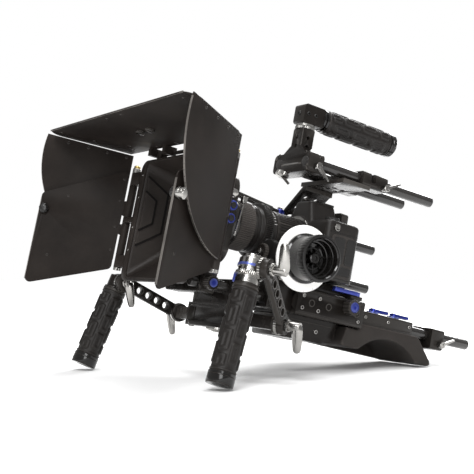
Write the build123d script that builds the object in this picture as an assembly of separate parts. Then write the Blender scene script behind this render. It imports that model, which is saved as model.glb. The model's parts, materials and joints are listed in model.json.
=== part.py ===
"""Shoulder camera rig: a small camera on 15 mm rods with a matte box, a follow focus, a top handle,
two front hand grips and a shoulder pad.

Design frame, in millimetres: +X is the operator's left, -Y is forward, +Z is up, the rods run along Y.
The lens axis is LENS_Z above the rods.  The finished rig stands nose up on its two grips and the back
of the shoulder pad, so every piece is turned by STANCE_PITCH about X and set down with the floor at Z 0.
"""
from build123d import *
from math import acos, atan2, cos, hypot, pi, radians, sin, sqrt, tan
import os

# ---------------------------------------------------------------- driving dimensions
ROD_RADIUS = 7.5
ROD_HALF_SPACING = 30.0
LENS_Z = 85.0
FIT = 0.05                      # radial clearance of a running fit
GAP = 0.3                       # gap between faces of pieces that move past each other
STANCE_PITCH = 11.5             # nose-up angle, degrees

FRONT_ROD_Y = (-215.0, 34.0)
REAR_ROD_Y = (36.0, 262.0)
TOP_ROD_Z = 188.0
TOP_ROD_Y = (-78.0, 150.0)
SIDE_ROD_X = -92.0
SIDE_ROD_HEIGHTS = (60.0, 120.0)
SIDE_ROD_Y = (20.0, 160.0)
ROD_CHAMFER = 0.8
ROD_THREAD_RADIUS = 5.1         # tapped M12 in the free ends of the rods
ROD_THREAD_DEPTH = 20.0

# camera body
BODY_X = (-80.0, 66.0)
BODY_Y = (-48.0, 7.0)
BODY_Z = (38.0, 116.0)
PRISM_TOP_Z = 143.0
THROAT_RADIUS = 25.0
SHUTTER_PLACE = (-64.0, -62.0)
SHUTTER_RADIUS = 5.0
DIAL_PLACE = (40.0, -24.0)
DIAL_RADIUS = 9.5

# lens
LENS_RADIUS = 31.0
LENS_CORE_RADIUS = 27.0
LENS_BORE_RADIUS = 20.0
LENS_Y = (-172.0, -48.0)
ZOOM_RING_Y = (-100.0, -66.0)
GEAR_RING_Y = (-126.0, -106.0)

# focus gears
GEAR_MODULE = 0.8
LENS_TEETH = 90
DRIVE_TEETH = 44
GEAR_DROP_ANGLE = 35.2          # the drive gear sits this far below the lens's left side
GEAR_Y = (-121.0, -111.0)
WHEEL_Y = -86.0
DISC_RADIUS = 42.0
DRIVE_SHAFT_RADIUS = 4.0
HAND_SHAFT_RADIUS = 5.0

# matte box
HOOD_Y = (-252.0, -206.0)
HOOD_HALF_WIDTH = 74.0
HOOD_Z = (-11.0, 149.0)
HOOD_WALL = 4.0
FRAME_HALF_WIDTH = 86.0
FRAME_CORNER = 14.0
STAGE_Y = (-206.0, -186.0)
STAGE_HALF_WIDTH = 60.0
STAGE_Z = (26.0, 139.0)
STAGE_CORNER = 22.0
COLLAR_END_Y = -174.0
TRAY_CENTRES = (-200.5, -192.0)
TRAY_HALF_WIDTH = 47.0
POST_X = 126.0
POST_Y = -240.0
POST_RADIUS = 3.0
KNUCKLE_RADIUS = 5.5
EARS = ((8.0, 24.0), (69.0, 76.0), (121.0, 138.0))    # heights of the hood's hinge ears
LEAVES = ((51.0, 68.0), (77.0, 100.0))                # heights of the flags' hinge leaves
FLAG_THICKNESS = 1.6
FLAG_OPEN_ANGLE = 31.5
FLAG_LENGTH = 119.5
FLAG_LOCK = (113.0, 69.0)       # distance from the post and height of the flag's lock screw
FLAG_LOCK_RADIUS = 2.0
TOP_FLAG_RISE = 4.7             # the top flag tilts up towards the front by this angle
WING_RADIUS = 132.0
WING_START = 9.0                # the wings begin this far in front of the posts
WING_CENTRE_Z = 150.0
WING_OFFSET = 7.0               # the wings stand this far outside the side flags
TOP_FLAG_Z = 164.0
TOP_HINGE_Z = 158.0
TOP_HINGE_RADIUS = 2.5

# base
BASE_X = (-56.0, 56.0)
BASE_Y = (-69.0, 42.0)
BASE_Z = (-14.0, 22.0)

# shoulder pad
PAD_X = (-52.0, 52.0)
PAD_TOP_Z = -15.0
PAD_LOW_Z = -44.0
PAD_REAR_FOOT_Y = 178.0

# top clamp
TOP_CLAMP_Y = (13.0, 56.0)
PLATE_Y = (-20.0, 27.0)
PLATE_TOP_Z = 179.0
PLATE_THICKNESS = 6.0

# front handles
SWIVEL_X = 58.0
SWIVEL_Y = -150.0
SWIVEL_Z = -35.0
SWIVEL_PIN_RADIUS = 4.0
ARM_LENGTH = 88.0
ARM_THICKNESS = 8.0
JOINT_RADIUS = 12.0
BOLT_RADIUS = 3.0
ELBOW_OFFSET = 21.0
GRIP_RADIUS = 16.0
GRIP_CORE_RADIUS = 10.0
CAP_LENGTH = 14.0
# side: +1 on the operator's left.  yaw: the arm's swing outwards.  tilt: the grip's lean, both in degrees.
# elbow_side: +1 puts the grip outside its arm.  neck: elbow centre to the rubber cover.
# neck_top: how far the neck stands above the elbow centre.  grip: the cover with its end cap.
# high_lever: which way its blade points, and how far out it stands.
HANDLES = {
    "left": {"side": 1, "yaw": 30.0, "tilt": 10.5, "elbow_side": -1, "swivel": 58.0, "neck": 27.0,
             "neck_top": 11.0, "grip": 114.0, "high_lever": (1, 24.0)},
    "right": {"side": -1, "yaw": 0.0, "tilt": 13.0, "elbow_side": 1, "swivel": 46.0, "neck": 14.0,
              "neck_top": 7.0, "grip": 104.0, "high_lever": (-1, 15.0)},
}

X_AXIS = Vector(1, 0, 0)
Y_AXIS = Vector(0, 1, 0)
Z_AXIS = Vector(0, 0, 1)
UP_IN_RIG = Vector(0, -sin(radians(STANCE_PITCH)), cos(radians(STANCE_PITCH)))

pieces = {}


# ---------------------------------------------------------------- small building blocks
def block(x, y, z, round_axis=None, radius=0.0):
    """A box between the (low, high) pairs, with the edges along round_axis rounded."""
    spans = (x, y, z)
    middle = [(low + high) / 2 for low, high in spans]
    solid = Pos(*middle) * Box(*[high - low for low, high in spans])
    if radius:
        edges = solid.edges() if round_axis is None else solid.edges().filter_by(round_axis)
        solid = fillet(edges, radius)
    return solid


def rod(start, end, radius):
    """A round bar from start to end."""
    start, end = Vector(start), Vector(end)
    plane = Plane(origin=start, z_dir=end - start)
    return plane * Cylinder(radius, (end - start).length, align=(Align.CENTER, Align.CENTER, Align.MIN))


def ring(start, end, outer, inner):
    """A round tube from start to end."""
    reach = (Vector(end) - Vector(start)).normalized()
    return rod(start, end, outer) - rod(Vector(start) - reach, Vector(end) + reach, inner)


def edges_along(solid, direction):
    """The straight edges of a solid that run along a direction."""
    return solid.edges().filter_by(lambda edge: abs(edge.tangent_at(0.5).dot(direction)) > 0.99)


def prism(plane, corners, thickness, radius=0.0):
    """A flat plate: the outline in the plane, grown by thickness along its normal, corners rounded."""
    outline = Polyline(*corners, close=True)
    face = plane * make_face(outline)
    solid = extrude(face, thickness, dir=plane.z_dir)
    if radius:
        solid = fillet(edges_along(solid, plane.z_dir), radius)
    return solid


def pair(make):
    """The same solid on both sides of the rig."""
    return [make(side) for side in (-1, 1)]


def keep(name, *solids):
    """Stores a node's solids under its name."""
    flat = []
    for item in solids:
        flat.extend(item.solids())
    pieces[name] = flat


def rod_bores(y, z=0.0, radius=ROD_RADIUS + FIT):
    """The two bores for a pair of rods, as one cutting tool."""
    low, high = y

    def bore(side):
        x = side * ROD_HALF_SPACING
        return rod((x, low - 1, z), (x, high + 1, z), radius)

    left, right = pair(bore)
    return left + right


# ---------------------------------------------------------------- rods and base
def rig_rod(x, z, span, threaded=True):
    """One rod along Y with chamfered ends; a free rear end is tapped for an extension rod."""
    bar = rod((x, span[0], z), (x, span[1], z), ROD_RADIUS)
    bar = chamfer(bar.edges(), ROD_CHAMFER)
    if threaded:
        bar -= rod((x, span[1] - ROD_THREAD_DEPTH, z), (x, span[1] + 1, z), ROD_THREAD_RADIUS)
    return bar


def main_rods():
    """Two front rods and two rear rods, joined end to end in the base block."""
    front = pair(lambda side: rig_rod(side * ROD_HALF_SPACING, 0, FRONT_ROD_Y, threaded=False))
    rear = pair(lambda side: rig_rod(side * ROD_HALF_SPACING, 0, REAR_ROD_Y))
    keep("main_rods", *front, *rear)


def upper_rods():
    """The pair of rods under the top handle and the pair beside the camera."""
    top = pair(lambda side: rig_rod(side * ROD_HALF_SPACING, TOP_ROD_Z, TOP_ROD_Y))
    beside = [rig_rod(SIDE_ROD_X, height, SIDE_ROD_Y) for height in SIDE_ROD_HEIGHTS]
    keep("upper_rods", *top, *beside)


def base_block():
    """The block that clamps all four main rods, with a tripod foot below it."""
    body = block(BASE_X, BASE_Y, BASE_Z, Axis.Y, 4)
    side_outline = ((-69, -13.5), (13, -13.5), (10, -36), (-10, -44), (-66, -44))
    foot_half_width = 40
    side_view = Plane(origin=(-foot_half_width, 0, 0), x_dir=(0, 1, 0), z_dir=(1, 0, 0))
    foot = prism(side_view, side_outline, 2 * foot_half_width, 3)
    body += foot
    body -= rod_bores(BASE_Y)
    # a pocket between the rods, closed above by the quick release
    body -= block((-18, 18), (-62, 34), (-9, BASE_Z[1] + 1), Axis.Z, 4)
    quarter_inch, three_eighths = 3.175, 4.76
    for y, hole_radius in ((-26, three_eighths), (-46, quarter_inch)):
        body -= rod((0, y, -50), (0, y, -30), hole_radius)
    for side in (-1, 1):
        for y in (-60, -34):
            body -= rod((side * BASE_X[1], y, 12), (side * (BASE_X[1] - 1.5), y, 12), 3)
    keep("base_block", body)


def base_knob():
    """The clamp knob on the left of the base block."""
    centre_y, centre_z = 14.0, 10.0
    head = rod((57, centre_y, centre_z), (70, centre_y, centre_z), 9)
    for index in range(12):
        angle = 2 * pi * index / 12
        y = centre_y + 9.6 * cos(angle)
        z = centre_z + 9.6 * sin(angle)
        head -= rod((56, y, z), (71, y, z), 1.4)
    head -= rod((68.6, centre_y, centre_z), (71, centre_y, centre_z), 6)
    stem = rod((50, centre_y, centre_z), (58, centre_y, centre_z), 3)
    socket = rod((49, centre_y, centre_z), (57, centre_y, centre_z), 3 + FIT)
    keep("base_block", pieces["base_block"][0] - socket)
    keep("base_knob", head + stem)


def quick_release():
    """The receiver on the base block, the plate that slides in it and its lever."""
    low_z, high_z = BASE_Z[1], 34
    y_span = (-62, 36)
    receiver = block((-44, 44), y_span, (low_z, high_z), Axis.Z, 5)
    receiver -= block((-25, 25), (y_span[0] - 1, y_span[1] + 1), (low_z + 3, high_z + 1))
    for side in (-1, 1):
        receiver += block(sorted((side * 19, side * 25.5)), y_span, (high_z - 4, high_z))
    pivot = (52.0, 24.0)
    pin_radius = 3
    receiver += block((40, 59), (14, 34), (low_z, 26.5), Axis.Z, 3)
    receiver += rod((*pivot, 26), (*pivot, 33), pin_radius)
    keep("qr_receiver", receiver)

    plate_y = (-58, 30)
    foot = block((-24.6, 24.6), plate_y, (25.2, 29.8))
    neck = block((-18.8, 18.8), plate_y, (29, high_z + GAP))
    top = block((-24, 24), plate_y, (high_z + GAP, BODY_Z[0]), Axis.Z, 3)
    keep("qr_plate", foot + neck + top)

    lever_z = (26.5 + GAP, 32)
    lever = rod((*pivot, lever_z[0]), (*pivot, lever_z[1]), 7.5)
    lever += block((pivot[0] + 0.5, pivot[0] + 9.5), (-16, pivot[1]), lever_z, Axis.Z, 3)
    lever -= rod((*pivot, 20), (*pivot, 40), pin_radius + FIT)
    keep("qr_lever", lever)


# ---------------------------------------------------------------- camera
def camera_body():
    """The body shell with its pentaprism hump and the throat behind the lens mount."""
    body = block(BODY_X, BODY_Y, BODY_Z)
    body = fillet(body.edges().filter_by(Axis.Z), 9)
    body = fillet(body.faces().sort_by(Axis.Z)[-1].edges(), 6)
    hump_low = Plane(origin=(0, -24, 100)) * Rectangle(66, 52)
    hump_high = Plane(origin=(0, -26, PRISM_TOP_Z)) * Rectangle(34, 42)
    hump = loft([hump_low, hump_high])
    hump = fillet(hump.edges().filter_by(lambda edge: abs(edge.tangent_at(0.5).Z) > 0.5), 7)
    hump = fillet(hump.faces().sort_by(Axis.Z)[-1].edges(), 5)
    body += hump
    mount_face = rod((0, BODY_Y[0] - 4, LENS_Z), (0, BODY_Y[0] + 2, LENS_Z), 36)
    body += mount_face & block((-60, 60), (-60, 0), (BODY_Z[0], 140))
    body -= rod((0, BODY_Y[0] - 5, LENS_Z), (0, -8, LENS_Z), THROAT_RADIUS)
    body -= block((-20, 20), (-8.5, -3), (LENS_Z - 14, LENS_Z + 14))
    body -= rod((*DIAL_PLACE, 110), (*DIAL_PLACE, 130), DIAL_RADIUS + FIT)
    body -= block((-75, -52), (BODY_Y[0] - 1, BODY_Y[0] + 3), (42, 106))
    keep("camera_body", body)
    sensor = block((-18, 18), (-7, -4.5), (LENS_Z - 12, LENS_Z + 12))
    keep("image_sensor", sensor)


def camera_fittings():
    """The rubber hand grip, screen, eyecup, mode dial and shutter button."""
    grip = block((-80, -50), (-76, -45), (40, 104))
    grip = fillet(grip.edges().filter_by(Axis.Z), 8)
    grip = fillet(grip.faces().sort_by(Axis.Z)[-1].edges(), 5)
    grip -= pieces["camera_body"][0]
    grip = max(grip.solids(), key=lambda solid: solid.volume)
    grip -= rod((*SHUTTER_PLACE, 98), (*SHUTTER_PLACE, 120), SHUTTER_RADIUS + FIT)
    keep("camera_grip", grip)
    keep("shutter_button", rod((*SHUTTER_PLACE, 100), (*SHUTTER_PLACE, 106), SHUTTER_RADIUS))
    cup = block((-19, 19), (BODY_Y[1], BODY_Y[1] + 11), (112, 138), Axis.Y, 5)
    cup -= block((-13, 13), (BODY_Y[1] + 4, BODY_Y[1] + 12), (117, 133), Axis.Y, 3)
    hump_back = block((-40, 40), (-60, BODY_Y[1]), (90, 150))
    keep("eyecup", cup - hump_back)
    dial = rod((*DIAL_PLACE, 110 + GAP), (*DIAL_PLACE, 122), DIAL_RADIUS)
    keep("mode_dial", chamfer(dial.faces().sort_by(Axis.Z)[-1].edges(), 0.8))


# ---------------------------------------------------------------- lens and focus gears
def gear(teeth, width, bore):
    """A spur gear about Z, from Z 0 to width, with straight-sided teeth and some backlash."""
    pitch = GEAR_MODULE * teeth / 2
    tip, root = pitch + 0.9 * GEAR_MODULE, pitch - 1.2 * GEAR_MODULE
    step = 2 * pi / teeth
    corners = []
    for index in range(teeth):
        middle = step * index
        for radius, share in ((root, -0.33), (tip, -0.13), (tip, 0.13), (root, 0.33)):
            angle = middle + share * step
            corners.append((radius * cos(angle), radius * sin(angle)))
    wheel = extrude(make_face(Polyline(*corners, close=True)), width)
    return wheel - Cylinder(bore, 3 * width)


def drive_centre():
    """The drive gear's centre in the XZ plane."""
    distance = GEAR_MODULE * (LENS_TEETH + DRIVE_TEETH) / 2 + 0.15
    angle = radians(GEAR_DROP_ANGLE)
    return distance * cos(angle), LENS_Z - distance * sin(angle)


def along_y(y, x=0.0, z=LENS_Z, turn=0.0):
    """A place whose local Z runs along +Y, turned about that axis by an angle in degrees."""
    return Plane(origin=(x, y, z), x_dir=Vector(cos(radians(turn)), 0, sin(radians(turn))), z_dir=(0, 1, 0))


def lens():
    """The fixed barrel, the zoom ring, the toothed focus ring and the front glass."""
    low, high = LENS_Y
    barrel = rod((0, low + 4, LENS_Z), (0, high - 4, LENS_Z), LENS_CORE_RADIUS)
    barrel += rod((0, low, LENS_Z), (0, GEAR_RING_Y[0] - GAP, LENS_Z), LENS_RADIUS)
    barrel += rod((0, GEAR_RING_Y[1] + GAP, LENS_Z), (0, ZOOM_RING_Y[0] - GAP, LENS_Z), LENS_RADIUS - 1)
    barrel += rod((0, ZOOM_RING_Y[1] + GAP, LENS_Z), (0, high - 4.3, LENS_Z), LENS_RADIUS - 1)
    barrel += rod((0, high - 5, LENS_Z), (0, high + 6, LENS_Z), THROAT_RADIUS - 0.3)
    barrel -= rod((0, low - 1, LENS_Z), (0, high + 10, LENS_Z), LENS_BORE_RADIUS)
    barrel -= rod((0, low - 1, LENS_Z), (0, low + 12, LENS_Z), LENS_CORE_RADIUS)
    keep("lens_barrel", barrel)
    glass = rod((0, low + 6, LENS_Z), (0, low + 11, LENS_Z), LENS_CORE_RADIUS - 0.1)
    glass -= Pos(0, low - 52, LENS_Z) * Sphere(60)
    keep("front_glass", glass)
    zoom = ring((0, ZOOM_RING_Y[0], LENS_Z), (0, ZOOM_RING_Y[1], LENS_Z), LENS_RADIUS, LENS_CORE_RADIUS + FIT)
    ribs = 48
    for index in range(ribs):
        angle = 2 * pi * index / ribs
        x = (LENS_RADIUS + 0.5) * cos(angle)
        z = LENS_Z + (LENS_RADIUS + 0.5) * sin(angle)
        zoom -= rod((x, ZOOM_RING_Y[0] + 4, z), (x, ZOOM_RING_Y[1] - 4, z), 1.0)
    keep("zoom_ring", zoom)
    sleeve_start, sleeve_end = (0, GEAR_RING_Y[0], LENS_Z), (0, GEAR_RING_Y[1], LENS_Z)
    sleeve = ring(sleeve_start, sleeve_end, LENS_RADIUS, LENS_CORE_RADIUS + FIT)
    width = GEAR_Y[1] - GEAR_Y[0]
    # a tooth of the ring points at the drive gear
    teeth = along_y(GEAR_Y[0], turn=-GEAR_DROP_ANGLE) * gear(LENS_TEETH, width, LENS_RADIUS - 1)
    keep("focus_gear_ring", sleeve + teeth)


def follow_focus():
    """The bracket with its gearbox, the drive gear, the hand shaft, the marking disc and the wheel."""
    x, z = drive_centre()
    width = GEAR_Y[1] - GEAR_Y[0]
    shaft_end = WHEEL_Y + 14
    # a gap of the drive gear faces the ring
    half_tooth = 180 / DRIVE_TEETH
    turn = 180 - GEAR_DROP_ANGLE + half_tooth
    wheel = along_y(GEAR_Y[0], x, z, turn) * gear(DRIVE_TEETH, width, 2)
    wheel += rod((x, GEAR_Y[0] - 3, z), (x, shaft_end, z), DRIVE_SHAFT_RADIUS)
    wheel += rod((x, GEAR_Y[1], z), (x, GEAR_Y[1] + 2.5, z), 9)
    bevel_mid = 9.0
    wheel += bevel((x, WHEEL_Y - bevel_mid, z), Y_AXIS)
    keep("drive_gear", wheel)

    shaft = rod((x + bevel_mid - 2, WHEEL_Y, z), (112, WHEEL_Y, z), HAND_SHAFT_RADIUS)
    shaft += bevel((x + bevel_mid, WHEEL_Y, z), X_AXIS * -1)
    shaft += rod((67, WHEEL_Y, z), (76, WHEEL_Y, z), 11)

    disc = ring((76.3, WHEEL_Y, z), (79.3, WHEEL_Y, z), DISC_RADIUS, HAND_SHAFT_RADIUS + FIT)
    keep("marking_disc", disc)
    # (x, radius) round the wheel's section
    profile = ((79.6, 4), (79.6, 30.5), (83, 31), (85, 29), (100, 27.2), (112, 29), (115, 28.6),
               (116, 27), (116, 22), (113, 20), (113, 4))
    plane = Plane(origin=(0, WHEEL_Y, z), x_dir=(1, 0, 0), z_dir=(0, -1, 0))
    hand = revolve(plane * make_face(Polyline(*profile, close=True)), Axis((0, WHEEL_Y, z), (1, 0, 0)))
    keep("hand_wheel", hand + shaft)

    box_x, box_y, box_z = (x - 12.5, 66.5), (GEAR_Y[1] + 3, WHEEL_Y + 16), (z - 17, z + 15)
    case = block(box_x, box_y, box_z, Axis.Y, 4)
    case -= block((x - 9, x + 16), (WHEEL_Y - 15, WHEEL_Y + 13), (z - 12, z + 12))
    case -= rod((x, box_y[0] - 1, z), (x, shaft_end + GAP, z), DRIVE_SHAFT_RADIUS + FIT)
    case -= rod((x, WHEEL_Y, z), (80, WHEEL_Y, z), HAND_SHAFT_RADIUS + FIT)
    arm = block((14, 46), (box_y[0], box_y[1]), (-13, z - 16.5), Axis.Y, 3)
    arm += block((40, 60), (box_y[0], box_y[1]), (z - 22, z - 16.5))
    bracket = case + arm
    rod_x = ROD_HALF_SPACING
    bracket -= rod((rod_x, box_y[0] - 1, 0), (rod_x, box_y[1] + 1, 0), ROD_RADIUS + FIT)
    bracket -= block((10, rod_x - 5), (box_y[0] - 1, box_y[1] + 1), (-1, 1))
    keep("focus_bracket", bracket)


def bevel(centre, direction):
    """A small mitre gear: a cone with cut teeth that points its small end along direction."""
    teeth = 16
    plane = Plane(origin=centre, z_dir=direction)
    cone = plane * Cone(8.2, 4.6, 3.6, align=(Align.CENTER, Align.CENTER, Align.MIN))
    for index in range(teeth):
        angle = 360 * index / teeth
        cut = Rot(0, 0, angle) * Pos(8.0, 0, 1.8) * Rot(0, 45, 0) * Box(2.4, 0.9, 8)
        cone -= plane * cut
    return cone


# ---------------------------------------------------------------- matte box
def flag_plane(side, outside=0.0):
    """The upright plane of a side flag: local X runs forward from the post, local Y runs up."""
    angle = radians(FLAG_OPEN_ANGLE)
    forward = Vector(side * sin(angle), -cos(angle), 0)
    outward = Vector(side * cos(angle), sin(angle), 0)
    origin = Vector(side * POST_X, POST_Y, 0) + outward * outside
    normal = forward.cross(Z_AXIS)
    return Plane(origin=origin, x_dir=forward, z_dir=normal), outward


def matte_hood():
    """The hood: four tapering walls, a front frame and the ears that carry the flags' hinges."""
    front_y, rear_y = HOOD_Y
    low, high = HOOD_Z
    height = high - low
    front = Plane(origin=(0, front_y, (low + high) / 2), x_dir=(1, 0, 0), z_dir=(0, 1, 0))
    rear = Plane(origin=(0, rear_y, sum(STAGE_Z) / 2), x_dir=(1, 0, 0), z_dir=(0, 1, 0))

    def outline(plane, width, tall, corner, inset):
        return plane * RectangleRounded(width - 2 * inset, tall - 2 * inset, corner - inset)

    def tunnel(inset):
        return loft([outline(front, 2 * HOOD_HALF_WIDTH, height, FRAME_CORNER - 3, inset),
                     outline(rear, 2 * STAGE_HALF_WIDTH, STAGE_Z[1] - STAGE_Z[0], STAGE_CORNER, inset)])

    frame = extrude(outline(front, 2 * FRAME_HALF_WIDTH, height, FRAME_CORNER, 0), 5)
    frame -= extrude(outline(front, 2 * HOOD_HALF_WIDTH, height, FRAME_CORNER - 3, HOOD_WALL), 6)
    hood = tunnel(0) - tunnel(HOOD_WALL) + frame
    for side in (-1, 1):
        for ear_low, ear_high in EARS:
            x_span = sorted((side * (FRAME_HALF_WIDTH - 8), side * POST_X))
            hood += block(x_span, (POST_Y - 5, POST_Y + 5), (ear_low, ear_high))
            hood += block(sorted((side * (FRAME_HALF_WIDTH - 10), side * FRAME_HALF_WIDTH)),
                          (front_y + 1, POST_Y + 5), (ear_low, ear_high))
            hood += rod((side * POST_X, POST_Y, ear_low), (side * POST_X, POST_Y, ear_high), KNUCKLE_RADIUS)
        hood -= rod((side * POST_X, POST_Y, EARS[0][0] - 1), (side * POST_X, POST_Y, EARS[-1][1] + 1),
                    POST_RADIUS + FIT)
        lug = block(sorted((side * 54, side * 62)), (POST_Y - 5, POST_Y + 5), (high - 4, TOP_HINGE_Z + 4))
        hood += lug - rod((side * 50, POST_Y, TOP_HINGE_Z), (side * 66, POST_Y, TOP_HINGE_Z),
                          TOP_HINGE_RADIUS + FIT)
    keep("matte_hood", hood)


def flag_posts():
    """The two upright hinge pins of the side flags with their end nuts."""
    low, high = EARS[0][0], EARS[-1][1]
    low_nut, high_nut, stub = 4.0, 7.0, 4.0
    pins = []
    for side in (-1, 1):
        x = side * POST_X
        pin = rod((x, POST_Y, low - low_nut), (x, POST_Y, high + high_nut + stub), POST_RADIUS)
        pin += rod((x, POST_Y, low - low_nut), (x, POST_Y, low), 5)
        pin += rod((x, POST_Y, high), (x, POST_Y, high + high_nut), 5)
        pins.append(pin)
    keep("flag_posts", *pins)


def side_flag(name, side):
    """A side flag: a plate with a sloping top edge, held by two knuckles on its post."""
    plane, outward = flag_plane(side)
    near, thick = KNUCKLE_RADIUS + 3, -side * FLAG_THICKNESS
    corners = ((near, 5), (near, 142), (FLAG_LENGTH, 90), (FLAG_LENGTH, -35))
    plate = prism(plane, corners, thick, 7)
    x = side * POST_X
    for lower_ear, upper_ear in zip(EARS, EARS[1:]):
        plate += rod((x, POST_Y, lower_ear[1] + GAP), (x, POST_Y, upper_ear[0] - GAP), KNUCKLE_RADIUS)
    for low, high in LEAVES:
        plate += prism(plane, ((0, low), (20, low + 4), (20, high - 4), (0, high)), thick)
    plate -= rod((x, POST_Y, -20), (x, POST_Y, 180), POST_RADIUS + FIT)
    reach, height = FLAG_LOCK
    centre = plane.origin + plane.x_dir * reach + Z_AXIS * height
    plate -= rod(centre - outward * 6, centre + outward * 6, FLAG_LOCK_RADIUS + FIT)
    keep("side_flag_" + name, plate)
    lock = rod(centre - outward * 5, centre + outward * 10, FLAG_LOCK_RADIUS)
    lock += rod(centre + outward * 2.2, centre + outward * 10, 6.5)
    lock += rod(centre - outward * 5, centre - outward * 2.2, 3.4)
    keep("flag_lock_" + name, lock)


def top_flag():
    """The top flag with its hinge bar, and the two quarter-round wings riveted under its edges."""
    angle = radians(FLAG_OPEN_ANGLE)
    tilt = radians(TOP_FLAG_RISE)
    inner_x = POST_X + WING_OFFSET / cos(angle) - 1
    rise = TOP_FLAG_Z - WING_CENTRE_Z + WING_RADIUS * cos(angle) * tan(tilt)
    wing_front = sqrt(WING_RADIUS ** 2 - rise ** 2)

    def corner(along):
        """The plate's edge above the wing, at a distance along the wing from its post."""
        return inner_x + along * sin(angle), along * cos(angle) / cos(tilt)

    (back_x, back_y), (front_x, front_y) = corner(WING_START), corner(wing_front)
    corners = ((-back_x, back_y), (-front_x, front_y), (front_x, front_y), (back_x, back_y))
    sheet = Plane(origin=(0, POST_Y, TOP_FLAG_Z), x_dir=(-1, 0, 0), z_dir=(0, sin(tilt), cos(tilt)))
    plate = extrude(sheet * make_face(Polyline(*corners, close=True)), FLAG_THICKNESS)
    front_corners = edges_along(plate, sheet.z_dir).sort_by(Axis.Y)[:2]
    plate = fillet(front_corners, 14)
    plate += rod((-72, POST_Y, TOP_HINGE_Z), (72, POST_Y, TOP_HINGE_Z), TOP_HINGE_RADIUS)
    for x in (-68, -30, 30, 68):
        plate += block((x - 4, x + 4), (POST_Y - 14, POST_Y + 3), (TOP_HINGE_Z - 3, TOP_FLAG_Z + 1.2))
    keep("top_flag", plate)

    wings = []
    for side in (-1, 1):
        plane, outward = flag_plane(side, WING_OFFSET)
        low = (WING_START, WING_CENTRE_Z - sqrt(WING_RADIUS ** 2 - WING_START ** 2))
        half_turn = radians(-42)
        middle = (WING_RADIUS * cos(half_turn), WING_CENTRE_Z + WING_RADIUS * sin(half_turn))
        front = (wing_front, WING_CENTRE_Z + rise - 2 * GAP)
        back = (WING_START, TOP_FLAG_Z - 2 * GAP)
        outline = Curve() + [ThreePointArc(low, middle, front), Line(front, back), Line(back, low)]
        wings.append(extrude(plane * make_face(outline), FLAG_THICKNESS, dir=outward))
    keep("top_flag_wings", *wings)


def filter_stage():
    """The stage behind the hood: two tray slots open upwards, a round collar behind and a rod foot."""
    low_y, high_y = STAGE_Y
    middle_z = (STAGE_Z[0] + STAGE_Z[1]) / 2
    outline = RectangleRounded(2 * STAGE_HALF_WIDTH, STAGE_Z[1] - STAGE_Z[0], STAGE_CORNER)
    front = Plane(origin=(0, low_y, middle_z), x_dir=(1, 0, 0), z_dir=(0, 1, 0))
    stage = extrude(front * outline, high_y - low_y)
    stage += rod((0, high_y, LENS_Z), (0, COLLAR_END_Y, LENS_Z), 42)
    foot = block((-46, 46), (low_y + 1, high_y - 1), (-12, STAGE_Z[0] + 8), Axis.Y, 3)
    stage += foot
    stage -= rod((0, low_y - 1, LENS_Z), (0, COLLAR_END_Y + 1, LENS_Z), LENS_RADIUS + 1)
    stage -= rod((0, low_y - 1, LENS_Z), (0, high_y - 1.5, LENS_Z), 46)
    slot_x = (-TRAY_HALF_WIDTH - GAP, TRAY_HALF_WIDTH + GAP)
    for y in TRAY_CENTRES:
        stage -= block(slot_x, (y - 3 - GAP, y + 3 + GAP), (36, STAGE_Z[1] + 1))
    stage -= rod_bores(STAGE_Y)
    keep("filter_stage", stage)
    for label, y in zip(("front", "rear"), TRAY_CENTRES):
        tray = block((-TRAY_HALF_WIDTH, TRAY_HALF_WIDTH), (y - 3, y + 3), (36.5, STAGE_Z[1] + 3), Axis.Y, 8)
        tray -= block((-42, 42), (y - 4, y + 4), (43, 127))
        tray += block((-12, 12), (y - 3, y + 3), (STAGE_Z[1], STAGE_Z[1] + 9), Axis.Y, 3)
        keep("filter_tray_" + label, tray)
    glass_y = TRAY_CENTRES[0]
    keep("filter_glass", block((-41.9, 41.9), (glass_y - 2, glass_y + 2), (43.1, 126.9)))


# ---------------------------------------------------------------- front handles
def handle_bracket():
    """The crossbar under the front rods; each end has an upright pin for a handle."""
    body = block((-46, 46), (SWIVEL_Y - 12, SWIVEL_Y + 12), (-22, 11), Axis.Y, 4)
    body -= rod_bores((SWIVEL_Y - 12, SWIVEL_Y + 12))
    bar = block((-66, 66), (SWIVEL_Y - 9, SWIVEL_Y + 9), (-26, -20), Axis.Z, 8)
    lower = block((-66, 66), (SWIVEL_Y - 9, SWIVEL_Y + 9), (-50, -44), Axis.Z, 8)
    web = block((-40, 40), (SWIVEL_Y - 8, SWIVEL_Y + 8), (-45, -20))
    body = body + bar + lower + web
    for side in (-1, 1):
        body += rod((side * SWIVEL_X, SWIVEL_Y, -46), (side * SWIVEL_X, SWIVEL_Y, -24), SWIVEL_PIN_RADIUS)
    keep("handle_bracket", body)


def handle_directions(side, yaw):
    """A handle's outward and forward directions, level in the rig."""
    angle = radians(yaw)
    outward = Vector(side * cos(angle), sin(angle), 0)
    forward = Vector(side * sin(angle), -cos(angle), 0)
    return outward, forward


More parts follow.
